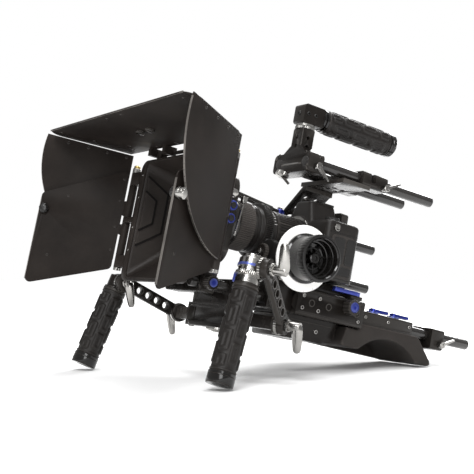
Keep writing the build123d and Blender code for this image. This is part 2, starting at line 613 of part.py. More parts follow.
def handle_layout(name):
    """Where a handle's joints are, so that its cap stands on the same floor as the shoulder pad."""
    spec = HANDLES[name]
    side, tilt = spec["side"], radians(spec["tilt"])
    outward, forward = handle_directions(side, spec["yaw"])
    pivot = Vector(side * SWIVEL_X, SWIVEL_Y, SWIVEL_Z)
    low_joint = pivot + outward * spec["swivel"]
    grip_up = (Z_AXIS * cos(tilt) - forward * sin(tilt)).normalized()
    elbow_shift = outward * (spec["elbow_side"] * ELBOW_OFFSET)
    floor = Vector(0, PAD_REAR_FOOT_Y, PAD_LOW_Z).dot(UP_IN_RIG)
    lean = grip_up.dot(UP_IN_RIG)
    cap_lean = GRIP_RADIUS * sqrt(1 - lean ** 2)
    grip_drop = (spec["neck"] + spec["grip"]) * lean
    needed = floor + cap_lean + grip_drop - (low_joint + elbow_shift).dot(UP_IN_RIG)
    along, above = forward.dot(UP_IN_RIG), Z_AXIS.dot(UP_IN_RIG)
    rise = atan2(above, along) - acos(needed / (ARM_LENGTH * hypot(along, above)))
    high_joint = low_joint + (forward * cos(rise) + Z_AXIS * sin(rise)) * ARM_LENGTH
    return {"outward": outward, "forward": forward, "pivot": pivot, "low": low_joint, "high": high_joint,
            "elbow": high_joint + elbow_shift, "grip_up": grip_up}


def handle_swivel(name, place):
    """The short bar from the bracket's upright pin to the arm's lower joint."""
    pivot, low, outward = place["pivot"], place["low"], place["outward"]
    half_height = 8.7
    swivel = rod(pivot - Z_AXIS * half_height, pivot + Z_AXIS * half_height, 9)
    span = HANDLES[name]["swivel"] - 5.3
    bar_plane = Plane(origin=pivot - Z_AXIS * 8, x_dir=outward, z_dir=Z_AXIS)
    swivel += extrude(bar_plane * Pos(span / 2, 0) * Rectangle(span, 13), 16)
    swivel += rod(low - outward * 11, low - outward * (ARM_THICKNESS / 2 + GAP), JOINT_RADIUS)
    swivel -= rod(pivot - Z_AXIS * 20, pivot + Z_AXIS * 20, SWIVEL_PIN_RADIUS + FIT)
    swivel -= rod(low - outward * 16, low, BOLT_RADIUS + FIT)
    keep("handle_swivel_" + name, swivel)


def handle_arm(name, place):
    """The flat arm with a row of lightening holes and a joint face at each end."""
    low, high, outward = place["low"], place["high"], place["outward"]
    half = outward * (ARM_THICKNESS / 2)
    plane = Plane(origin=low - half, x_dir=high - low, z_dir=outward)
    arm = extrude(plane * Pos(ARM_LENGTH / 2, 0) * Rectangle(ARM_LENGTH, 17), ARM_THICKNESS)
    for joint in (low, high):
        arm += rod(joint - half, joint + half, JOINT_RADIUS)
    for index in range(4):
        arm -= plane * Pos(22 + 14.5 * index, 0, -1) * Cylinder(4.6, 20)
    for joint in (low, high):
        arm -= rod(joint - outward * 5, joint + outward * 5, BOLT_RADIUS + FIT)
    keep("handle_arm_" + name, arm)


def hand_grip(name, place):
    """The elbow with its neck, core tube and end cap, and the rubber cover on the core."""
    spec = HANDLES[name]
    high, elbow, up = place["high"], place["elbow"], place["grip_up"]
    toward = place["outward"] * spec["elbow_side"]
    neck, full = spec["neck"], spec["neck"] + spec["grip"]
    inner = high + toward * (ARM_THICKNESS / 2 + GAP)
    core = rod(inner, elbow + toward * 2, JOINT_RADIUS)
    core += rod(elbow + up * spec["neck_top"], elbow - up * (neck - 0.5), 13)
    core += rod(elbow - up * (neck - 5), elbow - up * (neck - 1), 15)
    core += rod(elbow, elbow - up * (full - CAP_LENGTH), GRIP_CORE_RADIUS)
    core += rod(elbow - up * (full - CAP_LENGTH), elbow - up * full, GRIP_RADIUS)
    core -= rod(high, inner + toward * 6, BOLT_RADIUS + FIT)
    keep("grip_core_" + name, core)
    cover_end = elbow - up * (full - CAP_LENGTH - 0.2)
    keep("grip_cover_" + name, ring(elbow - up * neck, cover_end, GRIP_RADIUS, GRIP_CORE_RADIUS))


def arm_levers(name, place):
    """The clamp levers of an arm's two joints: a bolt, a round hub and a tapering blade."""
    spec = HANDLES[name]
    high_swing, high_length = spec["high_lever"]
    levers = (("low", place["low"], 1, -1, 22.0),
              ("high", place["high"], -spec["elbow_side"], high_swing, high_length))
    for label, joint, facing, swing, length in levers:
        axis = place["outward"] * facing
        bolt = rod(joint - axis * 9, joint + axis * 6, BOLT_RADIUS)
        hub = rod(joint + axis * 4.2, joint + axis * length, 6)
        reach = (Z_AXIS * swing + place["forward"] * 0.35 * swing).normalized()
        blade_start = joint + axis * (length - 3)
        blade = loft([Plane(origin=blade_start, z_dir=reach) * Rectangle(5, 10),
                      Plane(origin=blade_start + reach * 30, z_dir=reach) * Rectangle(3, 6)])
        keep("arm_lever_" + label + "_" + name, bolt + hub + blade)


def handle(name):
    """One front handle: swivel block, perforated arm, elbow with its grip, and two clamp levers."""
    place = handle_layout(name)
    handle_swivel(name, place)
    handle_arm(name, place)
    hand_grip(name, place)
    arm_levers(name, place)


# ---------------------------------------------------------------- top handle and side frame
def top_handle():
    """The block that slides on the top rods, its post, the elbow and the rear-facing grip."""
    y = (-78.0, -54.0)
    middle_y = (y[0] + y[1]) / 2
    body = block((-41, 41), y, (TOP_ROD_Z - 14, TOP_ROD_Z + 13), Axis.Y, 7)
    post = block((-12, 12), (y[0] + 2, y[1] - 2), (TOP_ROD_Z, 236), Axis.Z, 2)
    skirt_corners = ((-30, TOP_ROD_Z + 10), (30, TOP_ROD_Z + 10), (12, TOP_ROD_Z + 24), (-12, TOP_ROD_Z + 24))
    skirt = prism(Plane(origin=(0, y[1] - 2, 0), x_dir=(1, 0, 0), z_dir=(0, -1, 0)), skirt_corners, 20)
    body = body + post + skirt
    body -= rod_bores(y, TOP_ROD_Z)
    for z in (212, 224):
        body -= rod((0, y[0] - 1, z), (0, y[1] + 1, z), 2.6)
        body -= rod((-20, middle_y, z), (20, middle_y, z), 2.6)
    keep("top_block", body)

    elbow = rod((0, middle_y, 236.3), (0, middle_y, 244), 12.5)
    elbow += block((-12, 12), (y[0] - 1, y[1] + 10), (243.5, 270), Axis.X, 4)
    centre_z = 257.0
    core = rod((0, -46, centre_z), (0, 75, centre_z), 9)
    core += rod((0, -46, centre_z), (0, -37, centre_z), 13)
    core += rod((0, 75, centre_z), (0, 85, centre_z), 14.5)
    keep("top_grip_core", elbow + core)
    keep("top_grip_cover", ring((0, -36.8, centre_z), (0, 74.8, centre_z), 14.5, 9))


def top_clamp():
    """Two jaws that hold the top rods over the camera, and the crossplate below that joins them."""
    y = TOP_CLAMP_Y
    rod_floor = TOP_ROD_Z - ROD_RADIUS
    body = block((-52, 44), PLATE_Y, (PLATE_TOP_Z - PLATE_THICKNESS, PLATE_TOP_Z))
    for side in (-1, 1):
        jaw = block(sorted((side * 17, side * 44)), y, (PLATE_TOP_Z - 2, TOP_ROD_Z + 10), Axis.Y, 5)
        jaw -= block(sorted((side * 10, side * 50)), (y[0] + 14, y[0] + 22), (TOP_ROD_Z - 3, TOP_ROD_Z + 11))
        body += jaw
    body -= rod_bores(y, TOP_ROD_Z)
    for x in (-16, 0):
        for hole_y in (0, 14):
            body -= rod((x, hole_y, rod_floor - 20), (x, hole_y, rod_floor), 3.2)
    keep("top_clamp", body)


def side_plate():
    """The bent, perforated plate from the top clamp down the camera's right side to the base."""
    outer_x, inner_x = -99.0, -92.0
    top_z = PLATE_TOP_Z - PLATE_THICKNESS
    low_z = top_z - PLATE_THICKNESS
    bend_z = 128.0
    foot_z = (-4, 3)
    profile = ((-38, top_z), (-46, top_z), (outer_x, bend_z), (outer_x, foot_z[0]), (BASE_X[0], foot_z[0]),
               (BASE_X[0], foot_z[1]), (inner_x, foot_z[1]), (inner_x, bend_z + 3), (-43, low_z),
               (-38, low_z))
    rear_y = 50.0
    plane = Plane(origin=(0, rear_y, 0), x_dir=(1, 0, 0), z_dir=(0, -1, 0))
    plate = extrude(plane * make_face(Polyline(*profile, close=True)), rear_y - PLATE_Y[0])
    plate -= block((-110, -30), (PLATE_Y[1], rear_y + 1), (bend_z + 6, TOP_ROD_Z))
    plate -= block((-110, -86), (PLATE_Y[0] - 1, 14), (4, 118))
    for height in SIDE_ROD_HEIGHTS:
        clamp_z = (height - 13, height + 13)
        plate += block((outer_x, SIDE_ROD_X + 13), (16, rear_y), clamp_z, Axis.Y, 3)
    for height in SIDE_ROD_HEIGHTS:
        plate -= rod((SIDE_ROD_X, 10, height), (SIDE_ROD_X, rear_y + 1, height), ROD_RADIUS + FIT)
    top_corner = Vector(-46, 0, top_z)
    slope = Vector(outer_x, 0, bend_z) - top_corner
    normal = Vector(slope.Z, 0, -slope.X).normalized()
    for row in (0.22, 0.52, 0.82):
        for hole_y in (-6, 12):
            centre = top_corner + slope * row + Vector(0, hole_y, 0)
            plate -= rod(centre - normal * 12, centre + normal * 12, 4.2)
    keep("side_plate", plate)


def brace_arm():
    """The strut from the side plate's front to the top of the filter stage, with a ball at its rear."""
    start, end = Vector(-52, STAGE_Y[1] + 4, 143), Vector(-84, -26, 134)
    strut = rod(start, end, 4)
    strut += Pos(*end) * Sphere(6)
    strut += block((-58, -46), (STAGE_Y[1], STAGE_Y[1] + 8), (126, 148), Axis.Y, 2)
    keep("brace_arm", strut)


# ---------------------------------------------------------------- shoulder pad and rear clamps
def shoulder_pad():
    """The saddle-shaped pad: an arch towards the neck and a closed wall on its far side."""
    rim_z = PAD_TOP_Z + 9
    outline = ((24, rim_z), (146, rim_z), (152, rim_z - 3), (PAD_REAR_FOOT_Y + 1, PAD_LOW_Z + 6),
               (PAD_REAR_FOOT_Y, PAD_LOW_Z), (PAD_REAR_FOOT_Y - 14, PAD_LOW_Z + 1), (30, PAD_LOW_Z + 3),
               (17, PAD_LOW_Z + 4), (16, PAD_LOW_Z + 8))
    plane = Plane(origin=(PAD_X[0], 0, 0), x_dir=(0, 1, 0), z_dir=(1, 0, 0))
    pad = prism(plane, outline, PAD_X[1] - PAD_X[0], 2.5)
    arch = Pos(0, 98, -92) * Rot(0, 90, 0) * Cylinder(72, 90, align=(Align.CENTER, Align.CENTER, Align.MIN))
    pad -= Pos(-34, 0, 0) * arch
    pad -= block((-46.3, 46.3), (0, 200), (PAD_TOP_Z, 0))
    pad -= block((-60, 60), (0, BASE_Y[1] + 1), (PAD_TOP_Z, 0))
    keep("shoulder_pad", pad)


def pad_carrier():
    """The block that slides on the rear rods and carries the pad, with its two levers' posts."""
    y = (46.0, 140.0)
    body = block((-46, 46), y, (PAD_TOP_Z + 1, 12), Axis.Y, 3)
    body += block((-40, 40), (44, 146), (PAD_TOP_Z, PAD_TOP_Z + 4), Axis.Z, 6)
    body -= rod_bores((30, 160))
    keep("pad_carrier", body)
    for label, centre_y in (("front", 76), ("rear", 114)):
        lever = rod((32, centre_y, 12), (32, centre_y, 15), 7)
        lever += block((26, 38), (centre_y - 4, centre_y + 26), (14.5, 18.5), Axis.Z, 4)
        keep("pad_lever_" + label, lever)


def rod_end_clamp():
    """The accessory clamp at the back of the rear rods."""
    y = (180.0, 204.0)
    body = block((-44, 44), y, (-18, 11), Axis.Y, 4)
    body -= rod_bores(y)
    keep("rod_end_clamp", body)


def rig_levers():
    """Silver clamp levers on the top handle block, the top clamp and the rear clamp."""
    spots = (("top_block_lever", (41, -66, TOP_ROD_Z - 6), X_AXIS, Vector(0, 0.75, -0.66)),
             ("top_clamp_lever", (44, 50, TOP_ROD_Z - 6), X_AXIS, Vector(0, 0.9, 0.43)),
             ("rod_end_lever", (44, 196, -10), X_AXIS, Vector(0, 0.9, 0.43)))
    for name, start, outward, reach in spots:
        start = Vector(start)
        hub = rod(start, start + outward * 9, 4.5)
        tip = start + outward * 6.5
        blade = loft([Plane(origin=tip, z_dir=reach) * Rectangle(4, 6),
                      Plane(origin=tip + reach.normalized() * 24, z_dir=reach) * Rectangle(2.4, 4)])
        keep(name, hub + blade)


# ---------------------------------------------------------------- build and write
def build_all():
    main_rods()
    upper_rods()
    base_block()
    base_knob()
    quick_release()
    camera_body()
    camera_fittings()
    lens()
    follow_focus()
    matte_hood()
    flag_posts()
    side_flag("left", 1)
    side_flag("right", -1)
    top_flag()
    filter_stage()
    handle_bracket()
    handle("left")
    handle("right")
    top_handle()
    top_clamp()
    side_plate()
    brace_arm()
    shoulder_pad()
    pad_carrier()
    rod_end_clamp()
    rig_levers()


def write_all():
    """Turns the rig nose up, sets it on the floor, centres it and writes one file per node."""
    os.makedirs("parts", exist_ok=True)
    turned = {name: Rot(-STANCE_PITCH, 0, 0) * Compound(children=solids) for name, solids in pieces.items()}
    boxes = [shape.bounding_box() for shape in turned.values()]
    low = [min(getattr(box.min, axis) for box in boxes) for axis in "XYZ"]
    high = [max(getattr(box.max, axis) for box in boxes) for axis in "XYZ"]
    move = (-(low[0] + high[0]) / 2, -(low[1] + high[1]) / 2, -low[2])
    print("moved by", *move)
    for name, shape in turned.items():
        export_step(Pos(*move) * shape, "parts/" + name + ".step")


build_all()
write_all()
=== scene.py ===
"""Studio scene for the camera shoulder rig: materials, fine detail, light and camera.

Detail is built in the rig's own frame in millimetres: X to the operator's left, Y backward, Z up, with the
main rods along Y at Z 0.  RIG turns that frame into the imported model's frame in metres.
"""
import bpy
import bmesh
import json
from math import cos, hypot, pi, radians, sin, tan
from mathutils import Matrix, Vector


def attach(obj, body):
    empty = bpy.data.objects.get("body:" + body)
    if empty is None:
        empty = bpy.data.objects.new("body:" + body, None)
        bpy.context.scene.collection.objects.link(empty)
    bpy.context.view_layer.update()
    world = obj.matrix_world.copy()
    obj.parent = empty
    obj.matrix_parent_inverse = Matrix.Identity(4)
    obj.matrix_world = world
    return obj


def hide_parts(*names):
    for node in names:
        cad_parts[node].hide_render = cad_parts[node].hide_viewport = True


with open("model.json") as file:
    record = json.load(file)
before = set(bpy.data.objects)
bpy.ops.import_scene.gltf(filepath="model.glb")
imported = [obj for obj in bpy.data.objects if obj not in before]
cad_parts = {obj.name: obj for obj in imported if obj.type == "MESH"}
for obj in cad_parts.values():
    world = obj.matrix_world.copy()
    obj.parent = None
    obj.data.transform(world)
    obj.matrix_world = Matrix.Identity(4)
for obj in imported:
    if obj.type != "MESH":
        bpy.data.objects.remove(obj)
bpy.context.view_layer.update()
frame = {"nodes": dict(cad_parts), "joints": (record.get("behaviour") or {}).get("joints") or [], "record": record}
record = frame["record"]

LEFT = Vector((1, 0, 0))
BACK = Vector((0, 1, 0))
UP = Vector((0, 0, 1))
RIGHT = -LEFT
FORWARD = -BACK
DOWN = -UP
SIDES = {"left": 1, "right": -1}
MILLIMETRE = 0.001

ROD_HALF_SPACING = 30.0
TOP_ROD_Z = 188.0
REAR_ROD_MOUNT_Y = 252.0
LENS_Z = 85.0


def rig_matrix():
    """The rig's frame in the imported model, read from the left rear rod's mount."""
    mount = next(item for item in record["mounts"] if item["name"] == "rear_rod_left")
    along = Vector(mount["axis"]).normalized()
    up = LEFT.cross(along)
    origin = Vector(mount["pos_m"]) - (LEFT * ROD_HALF_SPACING + along * REAR_ROD_MOUNT_Y) * MILLIMETRE
    turn = Matrix((LEFT, along, up)).transposed().to_4x4()
    return Matrix.Translation(origin) @ turn @ Matrix.Scale(MILLIMETRE, 4)


RIG = rig_matrix()
TO_RIG = RIG.inverted()


def joint(name):
    """A turning joint's place in rig millimetres and its direction."""
    item = next(entry for entry in frame["joints"] if entry["name"] == name + "_turn")
    direction = (TO_RIG.to_3x3() @ Vector(item["axis"])).normalized()
    return TO_RIG @ Vector(item["pos_m"]), direction


# ---- materials
EDGE_STARTS, EDGE_FULL = 0.53, 0.62
BUMP_STRENGTH = 0.5
CLOUD_SCALE = 18
MICROMETRE = 0.000001


def new_material(name):
    """A new material, its node tree and its shader."""
    material = bpy.data.materials.new(name)
    material.use_nodes = True
    return material, material.node_tree, material.node_tree.nodes["Principled BSDF"]


def fill(tree, node, **values):
    """Sets a node's inputs and settings by name; another node's output is linked."""
    for key, value in values.items():
        socket = node.inputs.get(key.replace("_", " "))
        if socket is None:
            setattr(node, key, value)
        elif isinstance(value, bpy.types.NodeSocket):
            tree.links.new(value, socket)
        else:
            socket.default_value = value
    return node


def add(tree, kind, **values):
    """A new shader node with these inputs and settings."""
    return fill(tree, tree.nodes.new("ShaderNode" + kind), **values)


def noise(tree, scale, detail=4, roughness=0.6, stretch=(1, 1, 1)):
    """Noise in object space, in features per metre."""
    place = add(tree, "TexCoord").outputs["Object"]
    mapped = add(tree, "Mapping", Vector=place, Scale=stretch).outputs["Vector"]
    texture = add(tree, "TexNoise", Vector=mapped, Scale=scale, Detail=detail, Roughness=roughness)
    return texture.outputs["Fac"]


def ramp(tree, source, dark, pale):
    """Maps the middle of a grey value's range to two colours."""
    node = add(tree, "ValToRGB", Fac=source)
    for element, position, colour in zip(node.color_ramp.elements, (0.3, 0.7), (dark, pale)):
        element.position = position
        element.color = (*colour, 1)
    return node.outputs["Color"]


def span(tree, source, low, high, start=0, end=1):
    """Maps start..end to low..high."""
    node = add(tree, "MapRange", Value=source, From_Min=start, From_Max=end, To_Min=low, To_Max=high)
    return node.outputs["Result"]


def pale_edges(tree, colour, fine, edge):
    """Mixes the edge colour in where the surface is convex, broken up by the fine noise."""
    pointiness = add(tree, "NewGeometry").outputs["Pointiness"]
    breakup = add(tree, "Math", operation="MULTIPLY")
    tree.links.new(span(tree, pointiness, 0, 1, EDGE_STARTS, EDGE_FULL), breakup.inputs[0])
    tree.links.new(fine, breakup.inputs[1])
    mix = add(tree, "Mix", data_type="RGBA")
    plain_colour, edge_colour = [socket for socket in mix.inputs if socket.type == "RGBA"]
    edge_colour.default_value = (*edge, 1)
    tree.links.new(colour, plain_colour)
    tree.links.new(breakup.outputs[0], mix.inputs[0])
    return next(socket for socket in mix.outputs if socket.type == "RGBA")


def worn(name, dark, pale, rough, grain, depth, edge=None, metallic=0, shine=0.5, coat=0,
         stretch=(1, 1, 1)):
    """A finish with cloudy colour and roughness, fine grain and perhaps paler edges.

    The grain is in features per metre and its depth in micrometres."""
    material, tree, shader = new_material(name)
    cloud = noise(tree, CLOUD_SCALE, 5)
    fine = noise(tree, grain, 3, 0.7, stretch)
    colour = ramp(tree, cloud, dark, pale)
    if edge:
        colour = pale_edges(tree, colour, fine, edge)
    bump = add(tree, "Bump", Height=fine, Distance=depth * MICROMETRE, Strength=BUMP_STRENGTH)
    fill(tree, shader, Base_Color=colour, Roughness=span(tree, cloud, *rough), Metallic=metallic,
         Coat_Weight=coat, Specular_IOR_Level=shine, Normal=bump.outputs["Normal"])
    return material


def glass(name, tint, roughness):
    """Clear glass with a faint uneven tint and a hint of haze."""
    material, tree, shader = new_material(name)
    paler = tuple(min(1, value * 1.1) for value in tint)
    haze = span(tree, noise(tree, 300), roughness, roughness + 0.03)
    fill(tree, shader, Base_Color=ramp(tree, noise(tree, 40), tint, paler), Roughness=haze,
         Transmission_Weight=1, IOR=1.5)
    return material


ANODISED = worn("anodised_black", (0.0075, 0.0062, 0.0054), (0.015, 0.0128, 0.0113), (0.20, 0.32), 2600, 40,
                edge=(0.13, 0.12, 0.11), metallic=0.05, shine=0.14)
FLAG = worn("flag_black", (0.0080, 0.0062, 0.0053), (0.0165, 0.0132, 0.0114), (0.42, 0.56), 1700, 50,
            edge=(0.05, 0.043, 0.039), shine=0.08)
# A paler, partly metallic black laid along the flags' edges as a painted edge highlight.
EDGE_HIGHLIGHT_PAINT = worn("painted_edge_highlight", (0.05, 0.045, 0.041), (0.17, 0.155, 0.142), (0.30, 0.44), 1700, 40,
                 metallic=0.3)
HOOD = worn("hood_black", (0.014, 0.0112, 0.0098), (0.026, 0.0214, 0.0188), (0.36, 0.50), 2400, 60,
            shine=0.16)
# A much darker copy of the hood plastic: painted shade for the grooves round the pressed brackets.
GROOVE_SHADE_PAINT = worn("hood_shade_paint", (0.0035, 0.003, 0.0027), (0.006, 0.0052, 0.0047), (0.5, 0.6), 2400, 60,
                   shine=0.08)
CAMERA_SHELL = worn("camera_shell", (0.0095, 0.0082, 0.0074), (0.018, 0.0158, 0.0143), (0.32, 0.46), 3800,
                    70, edge=(0.10, 0.09, 0.082), shine=0.22)
CAMERA_TRIM = worn("camera_trim", (0.006, 0.0056, 0.0053), (0.012, 0.0112, 0.0106), (0.26, 0.38), 3000, 30,
                   shine=0.36)
LENS_SHELL = worn("lens_shell", (0.009, 0.008, 0.0073), (0.017, 0.015, 0.0138), (0.22, 0.34), 2800, 30,
                  shine=0.42)
RUBBER = worn("rubber", (0.0075, 0.0063, 0.0056), (0.015, 0.0128, 0.0115), (0.36, 0.54), 1900, 220,
              edge=(0.16, 0.142, 0.13), shine=0.22)
GLOSS = worn("gloss_black", (0.0035, 0.003, 0.0028), (0.0075, 0.0068, 0.0062), (0.10, 0.20), 900, 10,
             shine=0.3, coat=0.2)
SILVER = worn("turned_silver", (0.20, 0.193, 0.185), (0.42, 0.41, 0.39), (0.16, 0.28), 2600, 30,
              metallic=1)
BRASS = worn("brass", (0.50, 0.36, 0.10), (0.72, 0.54, 0.20), (0.22, 0.36), 2400, 30, metallic=1)
GUNMETAL = worn("polished_gunmetal", (0.010, 0.0088, 0.008), (0.020, 0.018, 0.0165), (0.11, 0.18), 1400, 20,
                stretch=(1, 0.05, 1))
BLUE = worn("anodised_blue", (0.006, 0.012, 0.13), (0.012, 0.028, 0.29), (0.24, 0.36), 2600, 30,
            edge=(0.25, 0.30, 0.60), metallic=0.6)
WHITE = worn("white_plate", (0.86, 0.85, 0.83), (0.92, 0.91, 0.89), (0.42, 0.56), 3000, 30)
PAD = worn("pad_foam", (0.016, 0.0132, 0.0118), (0.027, 0.0228, 0.0202), (0.55, 0.74), 1500, 180,
           edge=(0.16, 0.14, 0.125), shine=0.22)
GLASS = glass("coated_glass", (0.82, 0.88, 0.86), 0.01)
SENSOR = glass("sensor_glass", (0.20, 0.40, 0.32), 0.03)

SLOT_MATERIALS = {
    "black_metal": ANODISED, "rod_metal": GUNMETAL, "blue_metal": BLUE, "silver_metal": SILVER,
    "flag_metal": FLAG, "hood_plastic": HOOD, "camera_shell": CAMERA_SHELL, "camera_trim": CAMERA_TRIM,
    "lens_shell": LENS_SHELL, "gear_plastic": CAMERA_TRIM, "white_plastic": WHITE, "rubber": RUBBER,
    "grip_core": ANODISED, "pad_foam": PAD, "glass": GLASS, "sensor_glass": SENSOR,
}


# ---- mesh helpers
def new_object(name, data):
    """A new object in the scene."""
    item = bpy.data.objects.new(name, data)
    bpy.context.scene.collection.objects.link(item)
    return item


def round_edges(piece, width):
    """Rounds the sharp edges by this many millimetres."""
    modifier = piece.modifiers.new("edges", "BEVEL")
    modifier.width = width * MILLIMETRE
    modifier.segments = 2
    modifier.limit_method = "ANGLE"
    modifier.angle_limit = radians(40)
    modifier.harden_normals = True


def rounded_rectangle(half_length, half_width, corner, steps):
    """The outline of a rectangle with round corners."""
    outline = []
    for sign_a, sign_b, start in ((1, 1, 0), (-1, 1, 90), (-1, -1, 180), (1, -1, 270)):
        for step in range(steps + 1):
            angle = radians(start + 90 * step / steps)
            outline.append((sign_a * (half_length - corner) + corner * cos(angle),
                            sign_b * (half_width - corner) + corner * sin(angle)))
    return outline


class Shape:
    """Collects solids in rig millimetres and turns them into one piece."""

    def __init__(self):
        self.mesh = bmesh.new()

    def skin(self, rows, ends=True):
        """Faces between rings of points; the ends are capped, or else joined to each other."""
        rows = [[self.mesh.verts.new(spot) for spot in row] for row in rows]
        if ends:
            self.mesh.faces.new(rows[0][::-1])
            self.mesh.faces.new(rows[-1])
        for low, high in zip(rows, rows[1:] + ([] if ends else rows[:1])):
            for index in range(len(low)):
                after = (index + 1) % len(low)
                self.mesh.faces.new((low[index], low[after], high[after], high[index]))
        return self

    def revolve(self, origin, direction, profile, steps=48, bulge=None, ends=True):
        """Turns (distance along, radius) pairs round the axis; bulge(angle, along) changes the radius."""
        origin, direction = Vector(origin), Vector(direction).normalized()
        helper = UP if abs(direction.z) < 0.9 else LEFT
        first = direction.cross(helper).normalized()
        second = direction.cross(first).normalized()
        rows = []
        for along, radius in profile:
            row = []
            for index in range(steps):
                angle = 2 * pi * index / steps
                reach = radius + (bulge(angle, along) if bulge else 0)
                row.append(origin + direction * along + (first * cos(angle) + second * sin(angle)) * reach)
            rows.append(row)
        return self.skin(rows, ends)

    def rod(self, start, end, radius, edge=0.5):
        """A round bar with small chamfers."""
        start, end = Vector(start), Vector(end)
        length = (end - start).length
        profile = ((0, radius - edge), (edge, radius), (length - edge, radius), (length, radius - edge))
        return self.revolve(start, end - start, profile, 32)

    def tube(self, start, direction, length, outer, inner, steps, edge):
        """A round tube."""
        profile = ((0, inner), (0, outer - edge), (edge, outer), (length - edge, outer),
                   (length, outer - edge), (length, inner))
        return self.revolve(start, direction, profile, steps, ends=False)

    def screws(self, direction, radius, height, *places):
        """The same cap screw, with a round socket, at each place."""
        profile = ((-0.6, radius), (height - 0.4, radius), (height, radius - 0.4), (height, radius * 0.55),
                   (height - 1, radius * 0.5))
        for at in places:
            self.revolve(at, direction, profile, 20)
        return self

    def rivet(self, at, outward, radius=1.9):
        """Low domed rivet heads on both faces of a flag."""
        profile = ((-0.4, radius), (0.1, radius), (0.7, radius * 0.72), (0.95, radius * 0.3))
        self.revolve(at + outward * FLAG_THICKNESS, outward, profile, 16)
        return self.revolve(at, -outward, profile, 16)

    def slab(self, origin, along, across, length, width, thickness, corner, normal):
        """A rounded rectangle centred on origin, grown by thickness along its normal."""
        corner = min(corner, length / 2, width / 2)
        outline = rounded_rectangle(length / 2, width / 2, corner, 4)
        return self.plate(origin, along.normalized(), across.normalized(), outline, thickness, normal)

    def plate(self, origin, along, across, outline, thickness, normal):
        """A flat plate from (along, across) corners, grown by thickness along its normal."""
        low = [Vector(origin) + along * a + across * b for a, b in outline]
        return self.skin((low, [spot + normal * thickness for spot in low]))

    def finish(self, name, material, body="frame", bevel=0, angle=35):
        """Makes the piece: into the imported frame, smooth faces, material, edges rounded, body."""
        bmesh.ops.recalc_face_normals(self.mesh, faces=self.mesh.faces)
        self.mesh.transform(RIG)
        data = bpy.data.meshes.new(name)
        self.mesh.to_mesh(data)
        self.mesh.free()
        data.shade_smooth()
        data.set_sharp_from_angle(angle=radians(angle))
        piece = new_object(name, data)
        data.materials.append(material)
        if bevel:
            round_edges(piece, bevel)
        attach(piece, body)
        return piece


def turned(name, material, body, origin, direction, profile, steps=48, bulge=None, angle=35):
    """A piece made of one turned solid."""
    return Shape().revolve(origin, direction, profile, steps, bulge).finish(name, material, body, 0, angle)


def knurl(count, depth):
    """Ridges round a knob."""
    return lambda angle, along: depth * (0.5 + 0.5 * cos(count * angle))


def spokes(first, second, angles):
    """For each angle between two axes, the directions outward and round."""
    return [(first * cos(angle) + second * sin(angle), second * cos(angle) - first * sin(angle))
            for angle in angles]


def even_angles(count, start=0):
    """Angles spread evenly over one turn."""
    return [start + 2 * pi * index / count for index in range(count)]


# ---- CAD nodes
def dress_nodes():
    """Gives each CAD node its material, welded and rounded edges and smooth curved faces."""
    slots = {item["node"]: item["material_slot"] for item in record["subparts"]}
    for name, node in frame["nodes"].items():
        node.data.materials.clear()
        node.data.materials.append(SLOT_MATERIALS[slots[name]])
        weld = node.modifiers.new("weld", "WELD")
        weld.merge_threshold = 0.01 * MILLIMETRE
        round_edges(node, 0.4)
        node.data.shade_smooth()


# ---- rubber grips
GRIP_RADIUS = 16.0
CAP_LENGTH = 14.0
SLEEVE_GAP = 0.2
SLEEVE_WALL = 5.0
ELBOW_OFFSET = 21.0
PAD_ROWS, PAD_COLUMNS = 3, 6
PAD_MARGIN = 7.0
PAD_FADE = 2.0
PAD_CORNER = 2.4
PAD_HEIGHT = 1.5
PAD_SLOT_DEPTH = 1.1
HANDLES = {"left": {"tilt": 10.5, "neck": 27, "grip": 114}, "right": {"tilt": 13, "neck": 14, "grip": 104}}


def handle_place(name):
    """A handle's elbow centre and its grip's upward, outward and forward directions."""
    facts = HANDLES[name]
    high, outward = joint(f"grip_{name}")
    forward = outward.cross(UP) * SIDES[name]
    tilt = radians(facts["tilt"])
    up = (UP * cos(tilt) - forward * sin(tilt)).normalized()
    return high - outward * (SIDES[name] * ELBOW_OFFSET), up, outward, forward


def smooth(low, high, value):
    """A soft step from 0 at low to 1 at high."""
    share = max(0, min(1, (value - low) / (high - low)))
    return share * share * (3 - 2 * share)


def pad_height(angle, along, length):
    """How far the rubber stands out: slotted round pads in staggered columns."""
    from_end = min(along, length - along)
    if from_end < PAD_MARGIN - PAD_FADE:
        return 0.0
    column = angle / (2 * pi) * PAD_COLUMNS
    shift = 0.5 if int(column) % 2 else 0.0
    row = ((along - PAD_MARGIN) / (length - 2 * PAD_MARGIN) * PAD_ROWS + shift) % 1.0
    row_length = (length - 2 * PAD_MARGIN) / PAD_ROWS
    across = abs(column % 1.0 - 0.5) * 2 * pi * GRIP_RADIUS / PAD_COLUMNS
    lengthwise = abs(row - 0.5) * row_length
    half_width = pi * GRIP_RADIUS / PAD_COLUMNS * 0.80
    half_length = row_length * 0.42
    over_a = max(across - half_width + PAD_CORNER, 0)
    over_b = max(lengthwise - half_length + PAD_CORNER, 0)
    pad = 1.0 - smooth(-0.7, 0.5, hypot(over_a, over_b) - PAD_CORNER)
    slot = 1.0 - smooth(0.5, 1.3, max(across - 0.9, lengthwise - half_length * 0.55))
    fade = smooth(PAD_MARGIN - PAD_FADE, PAD_MARGIN, from_end)
    return (PAD_HEIGHT * pad - PAD_SLOT_DEPTH * slot * pad) * fade


